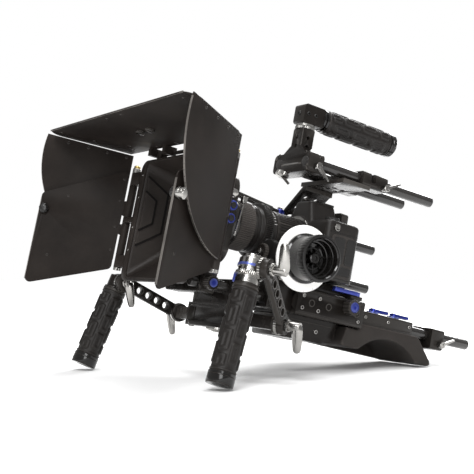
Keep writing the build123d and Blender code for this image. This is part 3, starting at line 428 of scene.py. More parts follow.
def grip_skin(name, top, down, length, radius, body, node):
    """The moulded rubber sleeve of a hand grip; it stands for the plain CAD sleeve."""
    rings = int(length / 0.9)
    profile = [(0, radius - SLEEVE_WALL)]
    for index in range(rings + 1):
        along = length * index / rings
        from_end = min(along, length - along)
        rim = 0.9 * (1 - smooth(0, 1.6, from_end))
        lip = 0.9 * (1 - smooth(2.6, 3.8, from_end))
        profile.append((along, radius - 1.2 - rim + lip))
    profile.append((length, radius - SLEEVE_WALL))
    piece = turned(name, RUBBER, body, top, down, profile, 120,
                   lambda angle, along: pad_height(angle, along, length), angle=60)
    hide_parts(node)


def lower_grip(name):
    """A front hand grip: rubber sleeve, gloss end cap and neck collar."""
    facts = HANDLES[name]
    elbow, up, _, _ = handle_place(name)
    body = f"grip_{name}"
    top = elbow - up * facts["neck"]
    sleeve = facts["grip"] - CAP_LENGTH - SLEEVE_GAP
    grip_skin(f"grip_sleeve_{name}", top, -up, sleeve, GRIP_RADIUS, body, f"grip_cover_{name}")
    cap_top = elbow - up * (facts["neck"] + facts["grip"] - CAP_LENGTH)
    cap = ((0, 15), (0.4, 16.25), (3.2, 16.3), (3.5, 15.9), (4.2, 15.9), (4.5, 16.3), (12.6, 16.2),
           (13.8, 15.4), (14.1, 14.2), (14.1, 9), (13.4, 8.6), (13.4, 4), (13.9, 3.6))
    turned(f"grip_cap_{name}", GLOSS, body, cap_top, -up, cap, 64)
    collar = ((-0.6, 14.6), (0, 15.6), (2.6, 15.6), (3.2, 14.9), (4, 14.9), (4.6, 14))
    turned(f"grip_collar_{name}", ANODISED, body, top, up, collar, 64)


def left_drum():
    """The stepped silver drum round the left elbow, with its blue band and button."""
    elbow, up, outward, forward = handle_place("left")
    body = "grip_left"
    drum = ((-22, 13.4), (-21.5, 14.6), (-16.5, 14.6), (-16, 13.8), (-13, 13.8), (-12.6, 15.4),
            (-7.6, 15.4), (-7, 14.4), (-3, 14.4), (-2.6, 15.6), (7.6, 15.6), (8.4, 14.8), (9.5, 13.5),
            (12.6, 13.2), (13.2, 12))
    turned("left_drum", SILVER, body, elbow, up, drum, 72)
    band = ((-2.2, 15.2), (-1.9, 16), (0.9, 16), (1.2, 15.2))
    turned("left_drum_band", BLUE, body, elbow, up, band, 72, knurl(36, 0.25))
    knurled = ((-12.2, 15), (-11.9, 15.9), (-8.3, 15.9), (-8, 15))
    turned("left_drum_knurl", SILVER, body, elbow, up, knurled, 144, knurl(48, 0.5))
    release = Shape()
    release.slab(elbow - up * 14 - outward * 15, up, forward, 13, 8, 3, 3, -outward)
    release.finish("left_drum_release", BLUE, body, 0.6)


def rosettes():
    """Toothed silver rings between the swivels, arms and elbows."""
    teeth = knurl(32, 0.35)
    for name, side in SIDES.items():
        high, outward = joint(f"grip_{name}")
        low, _ = joint(f"handle_arm_{name}")
        turned(f"rosette_low_{name}", SILVER, f"swivel_{name}", low - outward * 4, -outward,
               ((-0.15, 8), (-0.15, 12.6), (3.4, 12.6), (3.4, 8)), 96, teeth)
        toward = -outward * side
        turned(f"rosette_high_{name}", SILVER, f"grip_{name}", high + toward * 4.35, toward,
               ((0, 8), (0, 12.5), (3.2, 12.5), (3.2, 8)), 96, teeth)


def arm_trim():
    """Raised rims round the four holes on both faces of each arm."""
    first_hole, hole_step, half_thickness = 22, 14.5, 4.0
    for name in SIDES:
        low, outward = joint(f"handle_arm_{name}")
        high, _ = joint(f"grip_{name}")
        along = (high - low).normalized()
        rims = Shape()
        for index in range(4):
            centre = low + along * (first_hole + hole_step * index)
            for face in (-outward, outward):
                rims.tube(centre + face * half_thickness, face, 0.5, 6.2, 4.7, 40, 0.15)
        rims.finish(f"arm_hole_rims_{name}", ANODISED, f"arm_{name}")


# ---- top handle
TOP_HANDLE_Y = -66.0
TOP_GRIP_Z = 257.0
TOP_SLEEVE_RADIUS = 16.8
TOP_SLEEVE_START, TOP_SLEEVE_LENGTH = -36.8, 111.6
BLOCK_FRONT_Y = -78.0


def top_handle_detail():
    """Rubber sleeve, end cap, collar, lock rings and elbow screws of the top handle."""
    body = "top_handle"
    start = (0, TOP_SLEEVE_START, TOP_GRIP_Z)
    grip_skin("top_grip_sleeve", start, BACK, TOP_SLEEVE_LENGTH, TOP_SLEEVE_RADIUS, body, "top_grip_cover")
    cap = ((-0.2, 14.5), (0, 16.6), (2.4, 16.7), (2.8, 16.2), (3.6, 16.2), (4, 16.7), (9, 16.6),
           (10.2, 15.4), (10.3, 11), (9.7, 10.6), (9.7, 4), (10.1, 3.6))
    turned("top_grip_cap", GLOSS, body, (0, 75, TOP_GRIP_Z), BACK, cap, 64)
    collar = ((0, 13), (0.4, 14.2), (3.2, 14.2), (3.6, 13.6), (4.4, 13.6), (4.8, 15.4), (8, 15.4),
              (8.5, 14.6))
    turned("top_grip_collar", GLOSS, body, (0, -45.5, TOP_GRIP_Z), BACK, collar, 64)
    turned("top_lock_knurl", SILVER, body, (0, TOP_HANDLE_Y, 236.2), UP,
           ((0, 11.6), (0.4, 13), (3.6, 13), (4, 12.2)), 144, knurl(40, 0.5))
    turned("top_lock_plain", SILVER, body, (0, TOP_HANDLE_Y, 240.2), UP,
           ((0, 12.4), (0.3, 12.9), (3, 12.9), (3.3, 12.3)), 72)
    screws = Shape()
    for y in (TOP_HANDLE_Y - 6, TOP_HANDLE_Y + 6):
        for side in (1, -1):
            screws.screws(LEFT * side, 2.6, 1, (side * 12, y, TOP_GRIP_Z))
    screws.screws(FORWARD, 3.4, 1.2, (0, TOP_HANDLE_Y - 13, TOP_GRIP_Z))
    screws.finish("top_elbow_screws", CAMERA_TRIM, body)


def top_block_detail():
    """The lock knob and stem under the block's front, and its screws and groove."""
    turned("top_block_knob", SILVER, "frame", (-14, -79, 174), (0, -0.35, -1),
           ((-2, 6), (0, 8.6), (4.5, 8.8), (5.2, 7.6)), 96, knurl(24, 0.5))
    Shape().rod((-14, -80, 170), (-6, -72, 160), 1.8).finish("top_block_stem", ANODISED)
    screws = Shape().screws(FORWARD, 2.2, 0.8, *[(x, BLOCK_FRONT_Y, 200) for x in (-30, 30)])
    screws.screws(LEFT, 2.2, 0.8, (41, -60, 181), (41, -60, 195))
    screws.finish("top_block_screws", ANODISED)
    groove = Shape().slab((0, BLOCK_FRONT_Y, 186), LEFT, UP, 34, 2, 0.35, 0.9, FORWARD)
    groove.finish("top_block_groove", SILVER)


# ---- matte box
POST_X, POST_Y = 126, -240.0
FLAG_OPEN_ANGLE = radians(31.5)
FLAG_THICKNESS = 1.6
FLAG_LENGTH = 119.5
FLAG_EDGE_MIDDLE_Z, FLAG_EDGE_LENGTH = 27.5, 112
TOP_FLAG_Z = 164.0
TOP_FLAG_RISE = radians(4.7)
TOP_FLAG_REACH = 110.7
TOP_FLAG_HALF_WIDTH = 184
WING_OFFSET = 7.0
WING_RADIUS = 132.0
WING_CENTRE_Z = 150.0
HOOD_FRONT_Y, HOOD_REAR_Y = -252, -206.0
HOOD_FRONT_X, HOOD_REAR_X = 70, 56.0
HOOD_MIDDLE_Z = 69.0
OUTER_BRACKET = ((4, 128), (34, 110), (34, 58), (4, 36))
INNER_BRACKET = ((4, 108), (20, 98), (20, 68), (4, 56))


def flag_frame(side, outside=0):
    """A side flag's hinge point, forward direction and outward direction."""
    forward = Vector((side * sin(FLAG_OPEN_ANGLE), -cos(FLAG_OPEN_ANGLE), 0))
    outward = Vector((side * cos(FLAG_OPEN_ANGLE), sin(FLAG_OPEN_ANGLE), 0))
    return Vector((side * POST_X, POST_Y, 0)) + outward * outside, forward, outward


def side_flag_trim(name, side):
    """Rivets through a side flag and a pale bead on its front edge, painted as the edge highlight."""
    origin, forward, outward = flag_frame(side)
    rivets = Shape()
    for reach, height in ((14, 30), (14, 62), (14, 98), (14, 128), (96, 8), (84, 92)):
        rivets.rivet(origin + forward * reach + UP * height, outward)
    rivets.finish(f"flag_rivets_{name}", ANODISED, f"side_flag_{name}")
    # The pale bead along the front edge is a painted highlight.
    at = origin + forward * (FLAG_LENGTH - 0.3) + UP * FLAG_EDGE_MIDDLE_Z - outward * 0.3
    bead = Shape().slab(at, UP, forward, FLAG_EDGE_LENGTH, 0.9, 2.2, 0.4, outward)
    bead.finish(f"flag_bead_{name}", EDGE_HIGHLIGHT_PAINT, f"side_flag_{name}")


def flag_lock_trim(name, side):
    """The silver knob outside a flag's lock screw and the black nut inside."""
    lock, _ = joint(f"flag_lock_{name}")
    _, _, outward = flag_frame(side)
    body = f"flag_lock_{name}"
    knob = ((2, 5.4), (2.4, 6.5), (6, 6.5), (6.6, 6.1), (7, 6.5), (10, 6.5), (10.6, 5.6), (10.6, 2.6),
            (9.8, 2.4))
    turned(f"flag_knob_{name}", SILVER, body, lock, outward, knob, 96,
           lambda angle, along: 0.12 * cos(20 * angle) if along < 7 else 0)
    band = ((10.5, 3.4), (10.6, 4.8), (11, 4.6), (11.1, 3.4))
    turned(f"flag_knob_band_{name}", SILVER, body, lock, outward, band)
    nut = ((0.3, 5), (0.6, 6), (3.6, 6), (4.4, 5), (5.4, 4.2), (5.7, 3.2))
    turned(f"flag_nut_{name}", CAMERA_TRIM, body, lock, -outward, nut, 60, knurl(10, 0.5))


def top_flag_trim():
    """The top flag's rivets, its two knobs and a pale lip on its front edge, painted as the edge highlight."""
    forward = Vector((0, -cos(TOP_FLAG_RISE), sin(TOP_FLAG_RISE)))
    up = Vector((0, sin(TOP_FLAG_RISE), cos(TOP_FLAG_RISE)))
    origin = Vector((0, POST_Y, TOP_FLAG_Z))
    rivets = Shape()
    for x, reach in ((-108, 22), (-100, 30), (108, 22), (100, 30), (-50, 14), (50, 14), (-168, 100),
                     (168, 100), (-20, 102), (20, 102), (0, 14), (144, 62), (-144, 62)):
        rivets.rivet(origin + LEFT * x + forward * reach, up, 2.2)
    rivets.finish("top_flag_rivets", ANODISED, "top_flag")
    knobs = Shape()
    knob = ((-0.5, 3.4), (0.3, 5.8), (2.6, 5.8), (3.6, 4.6), (4, 2.5))
    for x in (-13, 13):
        at = origin + LEFT * x + forward * 58
        knobs.revolve(at, -up, knob, 48, knurl(16, 0.3))
        knobs.revolve(at + up * FLAG_THICKNESS, up, ((-0.4, 3), (1.6, 3), (2.2, 2.2)), 24)
    knobs.finish("top_flag_knobs", ANODISED, "top_flag")
    # The pale lip along the front edge is a painted highlight.
    at = origin + forward * TOP_FLAG_REACH - up * 0.2
    lip = Shape().slab(at, LEFT, forward, 2 * TOP_FLAG_HALF_WIDTH, 0.9, 2, 0.4, up)
    lip.finish("top_flag_lip", EDGE_HIGHLIGHT_PAINT, "top_flag")


def wing_trim(name, side):
    """Rivets along a wing's top and a pale bead round its curved edge, painted as the edge highlight."""
    start, forward, outward = flag_frame(side, WING_OFFSET)
    rivets = Shape()
    slope = cos(FLAG_OPEN_ANGLE) * tan(TOP_FLAG_RISE)
    for reach in (18, 45, 72, 100):
        rivets.rivet(start + forward * reach + UP * (TOP_FLAG_Z - 6 + reach * slope), outward)
    rivets.finish(f"wing_rivets_{name}", ANODISED, "top_flag")
    outer, inner = [], []
    for step in range(33):
        angle = radians(8 - 93 * step / 32)
        for radius, points in ((WING_RADIUS, outer), (WING_RADIUS - 0.6, inner)):
            points.append((radius * cos(angle), WING_CENTRE_Z + radius * sin(angle)))
    # The pale bead round the curved edge is a painted highlight.
    bead = Shape()
    for corners in zip(outer, outer[1:], inner[1:], inner):
        bead.plate(start - outward * 0.2, forward, UP, corners, 2, outward)
    bead.finish(f"wing_bead_{name}", EDGE_HIGHLIGHT_PAINT, "top_flag")


def hood_brackets(name, side):
    """Nested raised brackets pressed into a side wall, outlined by thin dark strips of painted groove shade."""
    front = Vector((side * HOOD_FRONT_X, HOOD_FRONT_Y, 0))
    rear = Vector((side * HOOD_REAR_X, HOOD_REAR_Y, 0))
    back = (rear - front).normalized()
    inward = UP.cross(back) * side
    panels = Shape()
    panels.plate(front - inward * 0.6, back, UP, OUTER_BRACKET, 2, inward)
    panels.plate(front, back, UP, INNER_BRACKET, 3, inward)
    panels.finish(f"hood_brackets_{name}", HOOD, bevel=0.9)
    # Dark strips along the brackets' edges: painted shade in the grooves.
    grooves = Shape()
    for path, height in ((OUTER_BRACKET, 1.45), (INNER_BRACKET, 3.05)):
        for (reach_a, z_a), (reach_b, z_b) in zip(path, path[1:]):
            along = back * (reach_b - reach_a) + UP * (z_b - z_a)
            middle = front + back * ((reach_a + reach_b) / 2) + UP * ((z_a + z_b) / 2)
            grooves.slab(middle + inward * (height - 0.6), along, along.cross(inward), along.length + 1.2,
                         2.6, 0.7, 1, inward)
    grooves.finish(f"painted_groove_shade_{name}", GROOVE_SHADE_PAINT)


def hood_front():
    """The hood's rolled front rim and screws, and the hinge posts' nuts and collars."""
    outer = rounded_rectangle(71.5, 77.5, 8.5, 6)
    inner = rounded_rectangle(69.6, 75.6, 6.6, 6)
    rim = Shape()
    for index in range(len(outer)):
        corners = (outer[index - 1], outer[index], inner[index], inner[index - 1])
        rim.plate((0, HOOD_FRONT_Y, HOOD_MIDDLE_Z), LEFT, UP, corners, 1.6, FORWARD)
    rim.finish("hood_rim", HOOD)
    nuts, brass = Shape(), Shape()
    lower = ((-0.3, 4.4), (0, 5.1), (3.4, 5.1), (3.8, 4.6))
    upper = ((0, 4.6), (0.4, 5.2), (6, 5.2), (6.6, 4.6))
    for x in (-POST_X, POST_X):
        nuts.revolve((x, POST_Y, 4), UP, lower, 64, knurl(24, 0.3))
        nuts.revolve((x, POST_Y, 138.3), UP, upper, 64, knurl(24, 0.3))
        brass.revolve((x, POST_Y, 145), UP, ((-0.2, 3.2), (0, 4.4), (2.8, 4.4), (3.6, 3.4)))
    nuts.finish("post_nuts", SILVER)
    brass.finish("post_collars", BRASS)
    places = [(x, HOOD_FRONT_Y, z) for x in (-79, 79) for z in (30, 60, 100, 130)]
    screws = Shape().screws(FORWARD, 1.6, 0.7, *places)
    screws.screws(FORWARD, 1.2, 0.6, *[(x, HOOD_FRONT_Y, 147.2) for x in (-62, -30, 30, 62)])
    screws.finish("hood_screws", SILVER)


# ---- filter stage
STAGE_Y = -196.0
STAGE_SIDE = 60.2
TRAY_KNOB_HEIGHTS = (96, 80)


def stage_collar():
    """The stepped collar behind the filter stage and its ring of screws."""
    collar = ((-0.5, 40), (0, 46), (3, 47), (5, 45.5), (6, 42), (10, 41.5), (12.2, 38.5), (12.4, 33.5))
    turned("stage_collar", LENS_SHELL, "frame", (0, -186, LENS_Z), BACK, collar, 96)
    places = [Vector((0, -181, LENS_Z)) + outward * 44 for outward, _ in spokes(LEFT, UP, even_angles(10))]
    Shape().screws(BACK, 2, 1.4, *places).finish("stage_screws", SILVER)


def stage_trim():
    """The stage's blue knobs, silver cap and strut, and its rod clamp's knob."""
    knobs, centres = Shape(), Shape()
    for z in TRAY_KNOB_HEIGHTS:
        knobs.revolve((STAGE_SIDE, STAGE_Y, z), LEFT, ((-1, 4.4), (0, 5.8), (8.4, 5.8), (9.2, 4.8)), 72,
                      knurl(18, 0.5))
        centres.revolve((STAGE_SIDE + 9, STAGE_Y, z), LEFT, ((0, 4), (0.3, 4.2), (1.2, 3.6), (1.3, 2)))
    knobs.finish("stage_knobs", BLUE)
    centres.finish("stage_knob_centres", CAMERA_TRIM)
    cap = ((-1, 4), (0, 5.6), (3.4, 5.6), (4, 4.6), (8, 4.2), (8.6, 3.2))
    turned("stage_knob_caps", SILVER, "frame", (STAGE_SIDE, STAGE_Y, 112), LEFT, cap, 48, knurl(20, 0.25))
    strut = Shape().rod((61, -182, 62), (58, -176, 104), 1.6)
    strut.slab((58, -176, 104), LEFT, BACK, 7, 7, 8, 1.5, UP)
    strut.finish("stage_strut", SILVER, bevel=0.4)
    turned("stage_rod_knob", ANODISED, "frame", (46, STAGE_Y, 0), LEFT,
           ((-1, 5), (0, 8.4), (9.4, 8.4), (10.4, 7.2)), 96, knurl(20, 0.6))
    centre = ((0, 5.4), (0.9, 5.2), (1.1, 2))
    turned("stage_rod_knob_centre", BLUE, "frame", (56.2, STAGE_Y, 0), LEFT, centre)


# ---- lens and follow focus
WHEEL_Y = -86.0
DISC_FACE_X = 79.25
DISC_MARK_RADIUS = 41.2


def lens_detail():
    """Stepped rings, the ribbed ring and index marks on the barrel."""
    rings = Shape()
    rings.revolve((0, -171.8, LENS_Z), BACK, ((0, 27.2), (0, 31.6), (1.6, 32.2), (9, 32.2), (10, 31.4),
                                              (12, 31.2), (12, 27.2)), 96)
    rings.revolve((0, -131.5, LENS_Z), BACK, ((0, 30), (0.3, 31.5), (2.6, 31.5), (3, 30)), 96)
    rings.revolve((0, -64.8, LENS_Z), BACK, ((0, 29), (0.4, 30.6), (2.2, 30.6), (2.6, 29)), 96)
    rings.finish("lens_steps", LENS_SHELL)
    turned("lens_ribs", RUBBER, "frame", (0, -158, LENS_Z), BACK,
           ((0, 30.5), (0.5, 31.4), (22.5, 31.4), (23, 30.5)), 216, knurl(72, 0.7))
    marks = Shape()
    angles = [radians(20 + 9 * index) for index in range(15)]
    for index, (outward, around) in enumerate(spokes(LEFT, UP, angles)):
        length = 4.6 if index % 3 == 0 else 2.6
        at = Vector((0, -103.5, LENS_Z)) + outward * 29.9
        marks.slab(at, BACK, around, length, 0.5, 0.22, 0.1, outward)
    marks.finish("lens_marks", WHITE)


def disc_ticks(height):
    """Fine ticks round the white marking disc, longer at every sixth."""
    ticks = Shape()
    for index, (outward, around) in enumerate(spokes(BACK, UP, even_angles(36))):
        length = 2.4 if index % 6 == 0 else 1.2
        middle = Vector((DISC_FACE_X, WHEEL_Y, height)) + outward * (DISC_MARK_RADIUS - length / 2)
        ticks.slab(middle, outward, around, length, 0.22, 0.16, 0.05, LEFT)
    ticks.finish("disc_ticks", ANODISED, "hand_wheel")


def hand_wheel_detail(height, shaft_start):
    """The wheel's deep cup, which stands for the CAD wheel, its knurled rings and fins."""
    cup = ((shaft_start, 4.9), (66.9, 4.9), (67, 11), (76, 11), (76.2, 4.9), (79.6, 4.9),
           (79.6, 30.5), (83, 31), (85, 29), (100, 27.2), (112, 29), (115, 28.6), (116, 27.4),
           (116, 25.4), (114.6, 24.2), (108, 23.4), (107.6, 22.4), (98, 21.6), (97.6, 20.4), (91, 19.6),
           (90.4, 18), (90.4, 9), (91.4, 8), (101, 7.2), (102, 6), (102, 3.2), (100.8, 3))
    cup_piece = turned("hand_wheel_cup", GLOSS, "hand_wheel", (0, WHEEL_Y, height), LEFT, cup, 96, angle=30)
    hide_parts("hand_wheel")
    rings = Shape()
    inner_ring = ((0, 29), (0, 30.2), (0.3, 31.4), (3, 31.4), (3.6, 30.4), (3.6, 29))
    outer_ring = ((0, 26.4), (0, 27.4), (11, 29.2), (15.2, 28.8), (16.1, 27.2), (16.1, 26.4))
    rings.revolve((79.7, WHEEL_Y, height), LEFT, inner_ring, 144, knurl(60, 0.35), ends=False)
    rings.revolve((100, WHEEL_Y, height), LEFT, outer_ring, 144, knurl(48, 0.5), ends=False)
    rings.finish("wheel_knurl", CAMERA_TRIM, "hand_wheel")
    fins = Shape()
    for outward, around in spokes(BACK, UP, even_angles(8, 0.3)):
        fins.slab(Vector((90, WHEEL_Y, height)) + outward * 13.6, outward, around, 11.5, 2.2, 5, 0.8, LEFT)
    fin_ring = ((0, 12.4), (0, 14.2), (1.4, 14.2), (1.4, 12.4))
    fins.revolve((94.6, WHEEL_Y, height), LEFT, fin_ring, 64, ends=False)
    fins.finish("wheel_fins", GLOSS, "hand_wheel", 0.2)


def gearbox_detail(height, gear):
    """The drive gear's knob and bolt, and the gear case's fittings."""
    knob = ((-1.5, 5), (0, 10.5), (4.5, 10.5), (5.6, 9), (5.6, 4.2), (6.6, 3.8))
    body = "drive_gear"
    turned("drive_gear_knob", ANODISED, body, (gear.x, -124.2, gear.z), FORWARD, knob, 96, knurl(20, 0.5))
    Shape().screws(FORWARD, 3.4, 1.6, (gear.x, -130.6, gear.z)).finish("drive_gear_bolt", SILVER, body)
    corners = [(66.4, y, z) for y in (WHEEL_Y - 15, WHEEL_Y + 10) for z in (height - 12, height + 10)]
    screws = Shape().screws(LEFT, 1.8, 0.8, *corners)
    screws.screws(LEFT, 3, 1.6, (46, -90, -4))
    screws.screws(LEFT, 2.4, 1.4, (60, -90, height - 20))
    screws.finish("gearbox_screws", SILVER)
    lever = Shape().slab((62, -101, 26), BACK, UP, 22, 7, 4, 3, LEFT)
    lever.revolve((62, -108, 26), LEFT, ((-2, 4.4), (6.2, 4.4), (6.8, 3.6)))
    lever.finish("gearbox_lever", SILVER, bevel=0.5)
    turned("gearbox_brass", BRASS, "frame", (62, -92, 26), LEFT, ((-2, 3), (5, 3), (5.6, 2.2)), 48,
           knurl(14, 0.3))


def follow_focus_detail():
    """The follow focus: marking disc, hand wheel, drive gear and gear case."""
    height = joint("hand_wheel")[0].z
    gear = joint("drive_gear")[0]
    disc_ticks(height)
    hand_wheel_detail(height, gear.x + 7.2)
    gearbox_detail(height, gear)


# ---- camera
BODY_TOP = 116.0
BODY_FRONT, BODY_BACK = -48, 7.0
BODY_LEFT = 66.0
DIAL_X, DIAL_Y = 40, -24
SHOE_Y = -12
PORT_SIDE = BODY_LEFT + 0.8
SEAM_SIDE = BODY_LEFT - 0.3


def camera_panels():
    """Grained rubber panels, the left side's port covers and the silver mount ring."""
    panels = Shape()
    panels.slab((BODY_LEFT - 0.4, -20, 70), BACK, UP, 38, 56, 1.3, 5, LEFT)
    panels.slab((50, BODY_FRONT + 0.3, 68), LEFT, UP, 22, 54, 1.3, 6, FORWARD)
    panels.finish("camera_skin", RUBBER, bevel=0.5)
    covers = Shape()
    covers.slab((PORT_SIDE, -26, 78), BACK, UP, 17, 34, 1, 3, LEFT)
    covers.slab((PORT_SIDE, -7, 78), BACK, UP, 15, 34, 1, 3, LEFT)
    covers.slab((PORT_SIDE, -17, 52), BACK, UP, 30, 11, 1, 2.5, LEFT)
    covers.finish("port_covers", CAMERA_TRIM, bevel=0.4)
    mount = Shape().tube((0, -53.6, LENS_Z), BACK, 2, 34.5, 30.6, 96, 0.3)
    mount.finish("mount_ring", SILVER)


def camera_buttons():
    """Buttons on the front, top and back, and the back's control wheel."""
    buttons = Shape()
    buttons.revolve((30, -51.5, 62), FORWARD, ((-1, 5), (0, 6.4), (2.6, 6.4), (3.2, 5.4)))
    buttons.revolve((26, 2, BODY_TOP), UP, ((-1, 3), (0.2, 3.2), (1, 2.8)), 32)
    for x in (52, 58):
        buttons.revolve((x, -34, BODY_TOP - 2), UP, ((0, 2.2), (2.2, 2.4), (2.9, 2)), 32)
    for index in range(4):
        buttons.revolve((-54 + 6.5 * index, -30, BODY_TOP), UP, ((-1, 2.2), (0.8, 2.2), (1.3, 1.8)), 32)
    for index in range(4):
        buttons.revolve((50, BODY_BACK, 96 - 9 * index), BACK, ((-1, 2.6), (0.9, 2.6), (1.5, 2.1)), 32)
    wheel = ((-1, 14), (1, 14), (2.2, 12.8), (2.4, 5.2), (3.2, 5))
    buttons.revolve((-58, BODY_BACK, 66), BACK, wheel, 96, knurl(48, 0.3))
    buttons.finish("camera_buttons", CAMERA_TRIM)


def mode_dial_detail():
    """The mode dial's knurled rim and the white marks on its face."""
    dial = ((0, 9), (0.3, 9.7), (5.4, 9.7), (5.9, 8.9), (5.9, 4.2), (6.3, 3.9))
    body = "mode_dial"
    turned("mode_dial_knurl", CAMERA_TRIM, body, (DIAL_X, DIAL_Y, 116.5), UP, dial, 120, knurl(40, 0.3))
    marks = Shape()
    for outward, around in spokes(LEFT, BACK, even_angles(12)):
        marks.slab(Vector((DIAL_X, DIAL_Y, 122.35)) + outward * 6.9, outward, around, 2, 0.8, 0.12, 0.2, UP)
    marks.finish("mode_dial_marks", WHITE, body)


def camera_fittings():
    """The accessory shoe, strap lug, screen frame and left side seams."""
    shoe = Shape()
    for side in (-1, 1):
        shoe.slab((side * 9.6, SHOE_Y, 142.8), BACK, LEFT, 18, 2, 3, 0.4, UP)
        shoe.slab((side * 7.8, SHOE_Y, 145), BACK, LEFT, 18, 4.6, 0.9, 0.4, UP)
    shoe.slab((0, SHOE_Y, 142.7), BACK, LEFT, 19, 18, 0.6, 0.6, UP)
    shoe.finish("accessory_shoe", GUNMETAL, bevel=0.2)
    lug = Shape().slab((BODY_LEFT - 1, -34, 108), BACK, UP, 8, 6, 3.2, 2.4, LEFT)
    lug.tube((BODY_LEFT + 1.2, -34, 106), LEFT, 1.2, 4.2, 2.7, 40, 0.3)
    lug.finish("strap_lug", SILVER, bevel=0.2)
    screen = Shape().slab((-2, BODY_BACK - 0.4, 78), LEFT, UP, 74, 54, 1.6, 3, BACK)
    screen.finish("screen_frame", GLOSS, bevel=0.4)
    seams = Shape()
    seams.slab((SEAM_SIDE, -20, 41.5), BACK, UP, 50, 0.7, 0.5, 0.2, LEFT)
    seams.slab((SEAM_SIDE, -20, 100.5), BACK, UP, 46, 0.6, 0.5, 0.2, LEFT)
    seams.finish("camera_seams", GLOSS)


# ---- base, clamps and pad
BASE_SIDE = 56.0
BASE_KNOB_Y, BASE_KNOB_Z = 14, 10
BRACKET_Y = -150
BRACKET_KNOB_Z = -10
CARRIER_SIDE = 46.0
CARRIER_MIDDLE_Y = 93
REAR_CLAMP_Y = 192
SIDE_PLATE_X = -99
SIDE_ROD_X = -92
BRACE_BALL = (-84, -26, 134)
ROD_XS = (-ROD_HALF_SPACING, ROD_HALF_SPACING)
ROD_END_RADIUS, ROD_HOLE_RADIUS = 6.4, 5.25


def base_detail():
    """Screws, rails and hole rims of the base block."""
    screws = Shape()
    for y, z in ((-60, 12), (-34, 12), (-60, -4), (-34, -4)):
        for side in (1, -1):
            screws.screws(LEFT * side, 2.8, 1, (side * BASE_SIDE, y, z))
    screws.screws(LEFT, 2.8, 1, (40, -56, -30), (40, -20, -30))
    screws.screws(LEFT, 2.4, 1, (BASE_SIDE, 34, -6))
    screws.finish("base_screws", SILVER)
    rails = Shape()
    for z in (-9, 18):
        for side in (1, -1):
            rails.slab((side * (BASE_SIDE - 0.2), -13, z), BACK, UP, 104, 1.6, 0.7, 0.6, LEFT * side)
    rails.slab((39.8, -30, -20), BACK, UP, 66, 1.4, 0.7, 0.5, LEFT)
    rails.finish("base_rails", ANODISED, bevel=0.2)
    rims = Shape()
    for y in (-46, -18, 30):
        rims.tube((BASE_SIDE - 0.3, y, 4), LEFT, 1, 5, 3.6, 48, 0.3)
    rims.finish("base_hole_rims", ANODISED)


def base_fittings():
    """The base knob's fluted ring and blue face, receiver screws and side post."""
    grip = ((0, 8.2), (0, 10), (0.5, 10.4), (12.2, 10.4), (13.2, 9.6), (13.4, 7.8), (12.6, 6.2),
            (11.6, 6.2), (11.6, 8.2))
    ring = Shape().revolve((57.2, BASE_KNOB_Y, BASE_KNOB_Z), LEFT, grip, 112, knurl(14, 0.5), ends=False)
    ring.finish("base_knob_grip", ANODISED, "base_knob")
    turned("base_knob_face", BLUE, "base_knob", (68.4, BASE_KNOB_Y, BASE_KNOB_Z), LEFT,
           ((0, 5.8), (1.2, 5.6), (1.5, 4.8), (1.5, 2.4), (0.9, 2.2)), 64)
    Shape().screws(LEFT, 2, 0.8, (44, -56, 30), (44, 30, 30)).finish("receiver_screws", SILVER)
    post = Shape().rod((47, -100, -12), (47, -100, 34), 3.4)
    post.revolve((47, -100, -10), UP, ((0, 4.6), (0.4, 5.4), (5, 5.4), (5.6, 4.6)), 64, knurl(20, 0.3))
    post.finish("bracket_post", ANODISED)


def bracket_detail():
    """The handle bracket's knob with its blue centre, pale lock disc and screws."""
    turned("bracket_knob", ANODISED, "frame", (46, BRACKET_Y, BRACKET_KNOB_Z), LEFT,
           ((-1, 7), (0, 9.2), (9.6, 9.2), (10.8, 8)), 96, knurl(18, 0.8))
    turned("bracket_knob_centre", BLUE, "frame", (56.6, BRACKET_Y, BRACKET_KNOB_Z), LEFT,
           ((0, 6), (1, 5.8), (1.3, 5), (1.3, 2.2)), 64)
    disc = ((-0.5, 8), (0, 14.2), (2.6, 14.4), (4.2, 13.2), (4.4, 7), (5.6, 6.6))
    turned("bracket_lock_disc", SILVER, "frame", (12, BRACKET_Y - 2, -50), DOWN, disc, 96, knurl(40, 0.35))
    screws = Shape().screws(FORWARD, 1.8, 0.8, *[(x, -158.5, z) for x in (-52, 52) for z in (-23, -47)])
    screws.screws(UP, 4, 1.8, *[(x, BRACKET_Y, -20) for x in (-58, 58)])
    screws.screws(DOWN, 4, 1.6, *[(x, BRACKET_Y, -50) for x in (-58, 58)])
    screws.finish("bracket_screws", SILVER)


def carrier_detail():
    """The pad carrier's blue cams with silver pins, its screws and its rails."""
    for name, y in (("front", 76), ("rear", 114)):
        body = f"pad_lever_{name}"
        Shape().screws(UP, 3, 1.2, (32, y, 18.4)).finish(f"pad_lever_pin_{name}", SILVER, body)
        turned(f"pad_lever_cam_{name}", BLUE, body, (32, y, 12.2), UP,
               ((0, 7.6), (0.4, 8.2), (2.4, 8.2), (2.8, 7.4)), 72, knurl(24, 0.25))
    screws = Shape()
    for y in (54, 95, 134):
        for side in (1, -1):
            screws.screws(LEFT * side, 2.4, 0.9, (side * CARRIER_SIDE, y, 4))
    screws.finish("carrier_screws", SILVER, "pad")
    rails = Shape()
    rails.slab((CARRIER_SIDE - 0.1, CARRIER_MIDDLE_Y, -3), BACK, UP, 88, 1.6, 0.7, 0.6, LEFT)
    rails.slab((0, CARRIER_MIDDLE_Y, 11.9), BACK, LEFT, 88, 16, 0.8, 2, UP)
    rails.finish("carrier_rails", ANODISED, "pad", 0.2)


